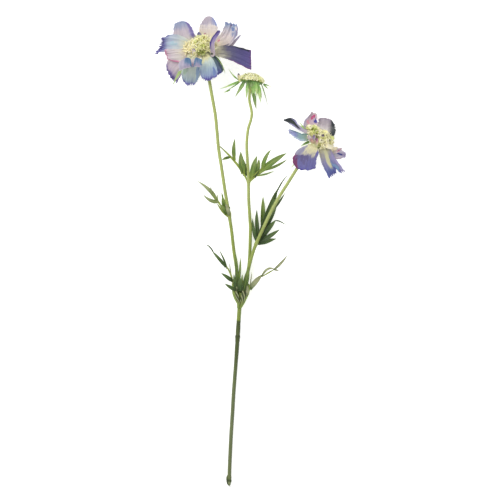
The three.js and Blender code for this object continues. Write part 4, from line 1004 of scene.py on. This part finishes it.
             patches=[("2b3334", 0.88, 0.48, 0.22, 0.6), ("2b3334", 0.62, 0.44, 0.32, 0.28)]),
        dict(line=[[-16.8, 4.6, 3], [-30.2, 11, 0]], half=4, turn=(-12, -12, 0.8), swell=(1.3, 2, 1.1),
             sides=[[1.1, 1.5, 1.25, 0.95, 0.6], [0.7, 0.8, 0.9, 0.9, 0.6]], ends=[0.95, 1, 1, 0.97, 0.9],
             ruffle=(0.5, 15), jag=(0.04, 3), hues="a4b8a8 8fada8 92aab4 8c94c0 a4a9d0 bcc0e0",
             left=("c3cbe0", 0.25, 0.35), right=("4f8a86", 0.2, 0.05)),
        dict(line=[[-9, -17.4, 7], [-12.4, -32.8, -1]], half=14, turn=(-6, -6, -0.4), swell=(0.9, 2, 0.3),
             sides=[[0.5, 0.7, 0.78, 0.86, 0.9], [0.46, 0.62, 1, 1.14, 0.95]],
             ends=[0.88, 1.02, 1.01, 0.985, 0.93], ruffle=(0.3, 15), jag=(0.04, 4), pleats=(4, 0.15),
             hues="e8e2b2 dcd6b4 8784a8 7472a4 7472ab 6b69ac", left=("7573ab", 0.17, 0.1),
             right=("7e3d68", 0.21, 0.44), rim=("4f4694", 0.05),
             patches=[("7e3d68", 0.95, 0.14, 0.08, 0.12), ("9c9ab0", 0.33, 0.06, 0.2, 0.14),
                      ("6a6490", 0.54, 0.34, 0.12, 0.26)], stir=0.5),
        dict(line=[[14.4, -24.4, 0], [21.6, -37.6, -6]], half=9, turn=(6, 8, 0.5), swell=(1.4, 2.4, 0.9),
             sides=[[0.5, 0.85, 1.02, 1.25, 1.42], [0.65, 0.8, 0.88, 0.9, 0.9]],
             ends=[1, 1.03, 0.98, 1.03, 1.02], ruffle=(0.9, 15), jag=(0.09, 9), pleats=(3, 0.2),
             cleft=(0.27, 0.09, 0.13), hues="bab698 9a97a0 9290b0 8082ac 6470a6 5b5f9e",
             left=("9b93bc", 0.25, 0.3),
             patches=[("cfcda4", 0.42, 0.5, 0.38, 0.17), ("7c9abc", 0.8, 0.75, 0.12, 0.12)]),
        dict(line=[[20.1, -13, -3], [33.4, -16.7, -9]], half=6.8, turn=(8, 12, 0.7), swell=(1.2, 2, 2.1),
             sides=[[0.5, 0.7, 0.9, 0.9, 0.6], [0.5, 0.8, 1, 0.95, 0.6]], ends=[0.9, 0.98, 1, 0.98, 0.92],
             ruffle=(0.6, 15), jag=(0.06, 4), hues="e6e2c0 dedcd0 d2d2d2 c8c2d0 ccc2cc b2a8c4",
             right=("cfc2c8", 0.3, 0.3),
             patches=[("8fb4b8", 0.42, 0.55, 0.12, 0.25), ("56589e", 0.72, 0.5, 0.2, 0.13)]),
        dict(line=[[13, -11.2, 2], [24, -8.2, 0]], half=3, turn=(0, 8, 0.6), swell=(0.6, 1.6, 0.6),
             sides=[[0.6, 0.9, 1, 0.85, 0.5]] * 2, ends=[0.92, 0.99, 1, 0.98, 0.92], ruffle=(0.3, 15),
             hues="f6efb4 f6efbc f4ecc0 f2e8c8 eee0c4"),
        dict(line=[[20.4, -11.6, -0.5], [28.6, -8.8, -3]], half=3.4, turn=(0, 10, 0.6),
             swell=(0.5, 1.6, 0.3), sides=[[0.6, 0.9, 1, 0.85, 0.4]] * 2, ends=[0.9, 0.98, 1, 0.98, 0.9],
             ruffle=(0.3, 15), hues="e6dcc0 e0d4c8 dccccb d3b6c0",
             patches=[("c06a8c", 0.82, 0.3, 0.1, 0.2)]),
        dict(smallPetal, points=[[-3, -2.4, 4.5], [-5.8, 1, 7.5], [-8.8, 5, 9]], half=2.6,
             hues="ded4bc d8cac4 d3c4ca cdbcc8"),
        dict(smallPetal, points=[[-2, -4, 5], [-3.8, -1.6, 7.4], [-6, 1.2, 8.6]], half=1.9,
             swell=(0.4, 1.6, 1.3), hues="e2d6b0 e0c6a8 dab09c cc9498"),
        dict(smallPetal, points=[[-2, -2, 6], [-2.2, 1.6, 8.8], [-2.6, 5.4, 10]], half=1.8,
             swell=(0.4, 1.6, 2.3), hues="ddd2b8 d0c0c0 b4a0bc 9480ae"),
        dict(smallPetal, points=[[0.4, -6, 6], [0.8, -2.4, 8.8], [1.4, 2, 10.4]], half=1.8,
             swell=(0.4, 1.6, 0.8), hues="e3dab4 e0ccb0 d09ca4 b07ca4"),
        dict(smallPetal, points=[[9, -3.6, 8], [14, -6.4, 9.4], [19.4, -8.4, 7.4]], half=3.2,
             turn=(20, 10, 0.9), hues="f0e8b8 f4ecc4 f6f0d2 f6eecf f2e8c6"),
        dict(smallPetal, points=[[7.2, 3.2, 10.4], [7.6, 4.8, 12.2], [8, 6.3, 12.6]], half=1.3,
             hues="e9e4b4 a890a0 463462 382a56"),
    ],
}
budPetal = dict(points=[[-13.2, -2.4, 4.6], [-14.4, 2.6, 5.4], [-14.6, 7.4, 5.6]], half=1.9,
                turn=(20, 0, 0.9), swell=(0, 1, 0), sides=[[0.7, 0.8, 0.9, 1, 0.6]] * 2,
                ends=[0.9, 0.98, 1, 0.98, 0.9], ruffle=(0.1, 15),
                hues="e3e3a0 ebe6a4 efe4b4 eaddb8 47456c")


def petalWidth(petal, u, v):
    left, right = (throughValues(side, u) for side in petal["sides"])
    share = smoothstep(v, -0.25, 0.25)
    scallop = 0.5 - 0.5 * np.cos(u * 30 + 2 * np.sign(v))
    rough = petal.get("scallop", 0.05) * scallop * np.abs(v) ** 6 * smoothstep(u, 0.35, 0.6)
    return (left * share + right * (1 - share)) * (1 - rough)


def petalLine(petal, head, lift):
    if "points" in petal:
        return smoothLine([head["centre"] + np.array(p, float) for p in petal["points"]])
    first = np.array(petal["line"][0], float)
    angle = math.atan2(first @ head["e2"], first @ head["e1"])
    if "azimuth" in petal:
        angle = math.radians(petal["azimuth"])
    claw = [inHead(head, r * math.cos(angle), r * math.sin(angle), lift)
            for r in (petalRoot["outer"], petalRoot["clearOfFlorets"])]
    if np.linalg.norm(first) <= petalRoot["shortest"]:
        claw.pop()  # a short petal has no room for the second point
    return smoothLine([*claw, *(head["centre"] + np.array(p, float) for p in petal["line"])])


def tipCut(petal, u, v, phase):
    # how far back the tip is cut by its notches and its cleft
    depth, teeth = petal.get("jag", (0.0, 4))
    notch = 0.5 - 0.5 * np.cos(teeth * math.pi * (v + 0.06 * np.sin(3 * v + phase)) + phase)
    cut = depth * u**8 * notch * (0.6 + 0.4 * np.sin(5.1 * v + phase))
    if "cleft" in petal:
        at, width, depth = petal["cleft"]
        cut = cut + depth * u**2 * np.exp(-(((v - at) / width) ** 2))
    return cut


def petalWave(petal, u, v, phase):
    # the height of a petal's waves over its own sheet, the same without its swell, and how near the rim is
    height, count, start = petal["swell"]
    swell = np.sin(count * v * math.pi + start * 2)
    wave = height * u**2.5 * (0.45 + 0.55 * v * v) * swell
    theta = np.arctan2(v, u - 0.35)
    rim = np.clip(np.maximum(np.abs(v), (u - 0.35) / 0.65), 0, 1)
    high, frills = petal.get("ruffle", (0.2, 15))
    wave = wave + high * rim**4 * smoothstep(u, 0.25, 0.6) * np.sin(frills * theta + phase)
    pleats, depth = petal.get("pleats", (3, 0.12))
    fan = v + 0.07 * np.sin(4 * u + phase) + 0.14 * np.sin(4 * v + phase)
    wave = wave + depth * np.sin(pleats * math.pi * fan + phase) * smoothstep(u, 0.05, 0.4)
    wave = wave + 0.08 * np.sin(v * 23 + phase) * smoothstep(u, 0.1, 0.5)
    creases = np.sin(11 * u + 5 * v + phase) * np.sin(7 * v - 9 * u) + 0.5 * np.sin(21 * u * v + phase)
    wave = wave + petal.get("crumple", 0.15) * 0.6 * creases * smoothstep(u, 0.3, 0.7)
    if "crease" in petal:
        at, fold = petal["crease"]
        away = (u + 0.03 * v * v - at) / 0.035
        wave = wave + fold * (np.exp(-(away**2)) - 0.7 * np.exp(-((away + 2.2) ** 2)))
    return wave, wave - height * 0.5 * u**2.5 * swell, rim


def petalSheet(petal, line, seed, grid):
    rows, columns = grid
    u, v = np.meshgrid(np.linspace(0, 1, rows), np.linspace(-1, 1, columns), indexing="ij")
    phase = seed * 1.7
    ends = throughValues(petal["ends"], (v + 1) / 2)
    along = np.clip(u * (1 + (ends - 1) * u) * (1 - tipCut(petal, u, v, phase)), 0, 1.1)
    roll, twist, fold = petal["turn"]
    place, way = alongLine(line, along)
    if "sideward" in petal:
        sideward = np.array(petal["sideward"], float)
        side = unit(sideward - (way @ sideward)[..., None] * way)
        normal = np.cross(way, side)
    else:
        side, normal = sectionAxes(way, np.radians(roll + twist * u))
    reach = petal["half"] * petalWidth(petal, u, v)
    across, lift = np.sin(fold * v) / fold, (1 - np.cos(fold * v)) / fold
    wave, level, rim = petalWave(petal, u, v, phase)
    mid = place + side * (reach * across)[..., None] + normal * (reach * lift + wave)[..., None]
    mid[..., 2] = np.maximum(mid[..., 2], petalLook["tableGap"])
    points, faces = closedSheet(mid, petalLook["thickness"] * (1.25 - 0.5 * rim**2))
    closeness = np.maximum(u, 0.55 * u + 0.45 * np.abs(v) ** 3) * smoothstep(u, 0.2, 0.55)
    # painted shade: how far down in the waves' valleys a point lies, for the material to darken; the lower
    # face the other way round
    valleyShade = np.clip(0.5 - level / (2.2 * np.abs(level).max()), 0, 1).reshape(-1, 1)
    return points, faces, np.hstack([sheetMap(u, (v + 1) / 2, closeness), np.vstack([valleyShade, 1 - valleyShade])])


def makePetals():
    for name, several in petals.items():
        head = heads[name]
        for i, petal in enumerate(several):
            line = petalLine(petal, head, petalRoot["upper"] if i % 2 else petalRoot["lower"])
            part = petalSheet(petal, line, i + 1, petalLook["grid"])
            looks = {key: petal[key] for key in ("left", "right", "rim", "patches", "stir") if key in petal}
            title = "petal_" + name + "_" + str(i + 1)
            stuff = petalMaterial(title, petal["hues"], **looks)
            makePiece(title, [part], stuff, "petal", ["bloom_" + name + "_petals"])
        stuff = petalMaterial("receptacle_" + name, "c9cf98 d6d8a6")
        part = turned(head, (0, 0), receptacle["profile"], receptacle["sides"])
        makePiece("receptacle_" + name, [part], stuff, "petal")
    part = petalSheet(budPetal, petalLine(budPetal, heads["bud"], 0), 3, petalLook["budGrid"])
    makePiece("petal_bud", [part], petalMaterial("petal_bud", budPetal["hues"]), "petal", ["bud_petal"])
    print("petals are made")


makePetals()


goldenAngle = math.pi * (3 - math.sqrt(5))
domeLook = {  # cover is how far down its sides seats go, lean how much they lean up
    "sides": 48, "cover": 0.97, "lean": 0.35,
}
floretLook = {"thickness": 0.14, "vary": (0.85, 1.15), "tilt": 0.25, "dimming": 2}  # how fast shade deepens
blushLook = {"from": 0.9, "size": 0.7, "lift": 0.9}  # a blushed floret is smaller and stands out by some mm
pinLook = {  # mm, but the length is in sizes of its florets
    "length": (2.0, 2.7), "radius": 0.09, "anther": 0.28, "antherHalf": 0.5, "bend": 0.3,
}
cushions = {  # the domes that florets sit on, and how many they are
    "left": dict(centre=(0.6, 1.8), base=2.4, height=8.8, spread=9.9, count=84, loose=0.13),
    "leftSide": dict(centre=(-10.7, -0.8), base=1.2, height=3.6, spread=6.2, count=28, loose=0.2),
    "bud": dict(centre=(0, 0), base=-1.4, height=6.6, spread=11.9, count=120, loose=0.03),
    "first": dict(centre=(-8.0, 2.8), base=2.2, height=5.4, spread=5.4, count=16, loose=0.3),
    "second": dict(centre=(5.8, 2.9), base=2.0, height=6.8, spread=7.4, count=25, loose=0.25),
}
# Places in a head, all from its centre, by X, Y and radius: gaps with no floret and shades where they are
# dim, both darkened with painted shade; and by X and Y the florets that are blushed, with their own number.
gaps = {"left": [(3.4, 0.0, 2.0), (-0.9, -4.9, 2.2)], "right": [(0.2, 1.6, 1.6)], "bud": []}
shades = {"left": [(0.4, -3.0, 5.6), (3.4, 0.2, 2.6)], "right": [(1.0, 2.0, 2.4)], "bud": []}
blushed = {"left": [], "right": [(10.6, 10.8, 0.98)], "bud": []}
floretKinds = {  # how many lobes, the tube's length, the lobes' bend at foot and tip, half width and length
    "open": (5, 1.3, (48, -34), 0.5, 1.35), "closed": (4, 1.2, (66, 118), 0.5, 0.9),
    "feather": (5, 1.2, (66, 18), 0.34, 1.7), "spiky": (4, 1.6, (86, 50), 0.3, 1.6),
    "droopy": (5, 1.0, (30, -40), 0.42, 2.0), "tuft": (6, 0.6, (48, 20), 0.42, 2.1),
    "cup": (5, 0.7, (24, 82), 0.7, 1.35), "folded": (4, 0.8, (44, 132), 0.8, 1.35),
    "flared": (5, 0.6, (16, 44), 0.72, 1.3),
}


def smallFloret(lobes, reach, bend, breadth, length):
    # one floret at the origin, opening along +Z: a tube, and lobes that bend from one angle to another
    sides = 6
    z = np.array([-0.8, 0.2, 0.7 * reach, reach])
    r = np.array([0.26, 0.28, 0.36, 0.5])
    angle = np.arange(sides) / sides * fullTurn
    rings = np.stack([np.outer(r, np.cos(angle)), np.outer(r, np.sin(angle)),
                      np.outer(z, np.ones(sides))], axis=-1)
    wall = gridFaces(4, sides, wrap=True, flip=True)
    parts = [(rings.reshape(-1, 3), wall, np.repeat(np.linspace(0, 0.45, 4), sides))]
    t = np.linspace(0, 1, 7)[:, None]
    x = np.linspace(-1, 1, 7)[None, :]
    start, end = bend
    slope = np.radians(start + (end - start) * t)
    step = length / 6
    out = 0.42 + (np.cumsum(np.cos(slope)) - math.cos(slope[0, 0]))[:, None] * step
    high = reach - 0.1 + (np.cumsum(np.sin(slope)) - math.sin(slope[0, 0]))[:, None] * step
    width = breadth * np.sqrt(np.sin(np.clip(t * 0.79 + 0.19, 0, 1) * math.pi) + 0.01)
    for k in range(lobes):
        turn = k / lobes * fullTurn
        stretch = 1.2 if k == 0 else 1.0
        cup = 0.22 * x * x + 0.1 * np.sin(8 * x + 2 * k) * t**2
        far = out * stretch - 0.3 * cup
        sheet = np.stack([
            far * math.cos(turn) - width * x * math.sin(turn),
            far * math.sin(turn) + width * x * math.cos(turn),
            high + cup], axis=-1)
        points, faces = closedSheet(sheet, floretLook["thickness"])
        parts.append((points, faces, np.tile((0.45 + 0.55 * t + 0 * x).reshape(-1), 2)))
    return parts


def placeFloret(parts, seat, way, scale, own, outward, dim):
    spin = rng.uniform(0, fullTurn)
    side, normal = (axes[0] for axes in sectionAxes(way[None]))
    first = side * math.cos(spin) + normal * math.sin(spin)
    turn = np.stack([first, np.cross(way, first), way])
    for points, faces, along in parts:
        # painted shade: a dim floret's along numbers go lower, so the material darkens it
        level = along * (1 - 0.75 * dim) - 0.4 * dim
        yield seat + (points * scale) @ turn, faces, mapOf(len(points), level, own, outward)


def domeSeats(head, cushion):
    # seats in a loose golden-angle spiral over a dome, from the middle outwards
    for i in range(cushion["count"]):
        turn = i * goldenAngle + cushion["loose"] * rng.normal()
        polar = math.acos(1 - ((i + 0.5) / cushion["count"]) * domeLook["cover"])
        polar += 0.3 * cushion["loose"] * rng.normal()
        out = math.sin(polar)
        x, y, z = out * math.cos(turn), out * math.sin(turn), math.cos(polar)
        seat = inHead(head, cushion["centre"][0] + cushion["spread"] * x,
                      cushion["centre"][1] + cushion["spread"] * y, cushion["base"] + z * cushion["height"])
        yield seat, unit(inHead(head, x, y, z + domeLook["lean"]) - head["centre"]), out


def domeCore(head, cushion, key):
    # what shows between the florets: lit there, with painted shade dark down in the gaps and dim round them
    spread, base = cushion["spread"] * 0.96, cushion["base"]
    profile = [(0.01, base - 1.6), (spread * 0.7, base - 1.6)]
    profile += [(max(0.01, spread * math.cos(a)), base - 0.3 + cushion["height"] * math.sin(a))
                for a in np.linspace(0, math.pi / 2, 9)]
    points, faces, _ = turned(head, cushion["centre"], profile, domeLook["sides"])
    bright = 0.3
    level = np.full(len(points), bright)
    for spots, low in ((gaps[key], -0.4), (shades[key], -0.1)):
        for spotX, spotY, radius in spots:
            apart = np.hypot(*(points - head["centre"])[:, :2].T - np.array([[spotX], [spotY]]))
            level = np.minimum(level, low + (bright - low) * smoothstep(apart, radius * 0.6, radius * 1.3))
    return points, faces, mapOf(len(points), level, 0.2, 0.4)


def pin(seat, way, length, outward, dim):
    # a stamen: a thin filament and its anther
    bend = unit(way + pinLook["bend"] * rng.normal(size=3))
    share = np.linspace(0, 1, 5)
    places = seat + np.outer(share, way) * length * 0.6 + np.outer(share**2, bend) * length * 0.4
    filament, faces = tube(places, unit(np.gradient(places, axis=0)), pinLook["radius"], 4)
    # painted shade: on dim florets the filament and anther are darker
    yield filament, faces, mapOf(len(filament), 0.8 - 0.7 * dim, 0.3, outward)
    across = unit(np.cross(bend, rng.normal(size=3)))
    share = np.linspace(-1, 1, 6)
    places = places[-1] + np.outer(share, across) * pinLook["antherHalf"]
    radius = pinLook["anther"] * np.sqrt(1.02 - share**2)
    anther, faces = tube(places, np.tile(across, (6, 1)), radius, 6)
    yield anther, faces, mapOf(len(anther), 0.88 - 0.7 * dim, 0.3, outward)


def ownNumbers(places, marks):
    # each floret's own number: under 0.2 it is greener, over 0.9 pink and over 0.95 violet
    own = rng.uniform(0, 0.88, len(places))
    for x, y, value in marks:
        apart = np.hypot(places[:, 0] - x, places[:, 1] - y)
        if apart.min() < 2:
            own[np.argmin(apart)] = value
    return own


def near(x, y, spots):
    # 1 in the middle of a spot, 0 at its edge and beyond
    return max([0.0, *(1.0 - math.hypot(x - spotX, y - spotY) / radius for spotX, spotY, radius in spots)])


def florets(key, cushion, kinds, size, pins):
    # a floret of one of the kinds on every seat of a dome, with a stamen at every few of them
    head, cushion = heads[key], cushions[cushion]
    kinds = [smallFloret(*floretKinds[kind]) for kind in kinds.split()]
    parts = [domeCore(head, cushion, key)]
    seats = list(domeSeats(head, cushion))
    places = np.array([seat for seat, _, _ in seats]) - head["centre"]
    own = ownNumbers(places, blushed[key])
    for i, (seat, way, out) in enumerate(seats):
        x, y = places[i, :2]
        if near(x, y, gaps[key]) > 0:
            continue
        dim = min(1.0, floretLook["dimming"] * near(x, y, shades[key]))
        kind = kinds[rng.integers(len(kinds))]
        scale = size(out) * rng.uniform(*floretLook["vary"])
        if own[i] > blushLook["from"]:
            scale *= blushLook["size"]
            seat = seat + way * blushLook["lift"]
        leaning = unit(way + floretLook["tilt"] * rng.normal(size=3))
        # painted shade: a dim floret's own number goes lower too, which greens it
        parts += placeFloret(kind, seat, leaning, scale, own[i] * (1 - dim), out, dim)
        if i % pins == 0:
            parts += pin(seat, way, size(0.5) * rng.uniform(*pinLook["length"]), out, dim)
    return parts


def makeFlorets():
    parts = florets("left", "left", "feather spiky droopy",
                    lambda out: 1.6 + 0.4 * smoothstep(out, 0.75, 1.0), 3)
    stuff = floretMaterial("waxy_florets_left", "f5f09a", "f8f3ba", "fffcda", "fbf6c8", 0.2)
    makePiece("florets_left", parts, stuff, "floret", ["bloom_left_florets"])

    parts = florets("left", "leftSide", "tuft", lambda out: 1.8 + 0.6 * out, 4)
    stuff = floretMaterial("waxy_florets_cream", "f6ecb2", "f9efc0", "fdf5ce", "fae4c4", 0.3, "f4ecb4", 0.8)
    makePiece("florets_left_side", parts, stuff, "floret", ["bloom_left_florets"])

    parts = florets("bud", "bud", "open closed", lambda out: 1.4 if out > 0.9 else 1.2, 3)
    stuff = floretMaterial("waxy_florets_bud", "e4e598", "f0edb4", "fafad2", "ece8b6", 0.2)
    makePiece("florets_bud", parts, stuff, "floret", ["bud_florets"])

    parts = []
    for cushion, size in (("first", 2.5), ("second", 2.8)):
        parts += florets("right", cushion, "cup folded flared",
                         lambda out: size * (0.8 if out < 0.3 else 1.0), 3)
    stuff = floretMaterial("waxy_florets_right", "e2e296", "f3ecba", "fdf9d0", "c4acb0", 0.35)
    makePiece("florets_right", parts, stuff, "floret", ["bloom_right_florets"])
    print("florets are made")


makeFlorets()
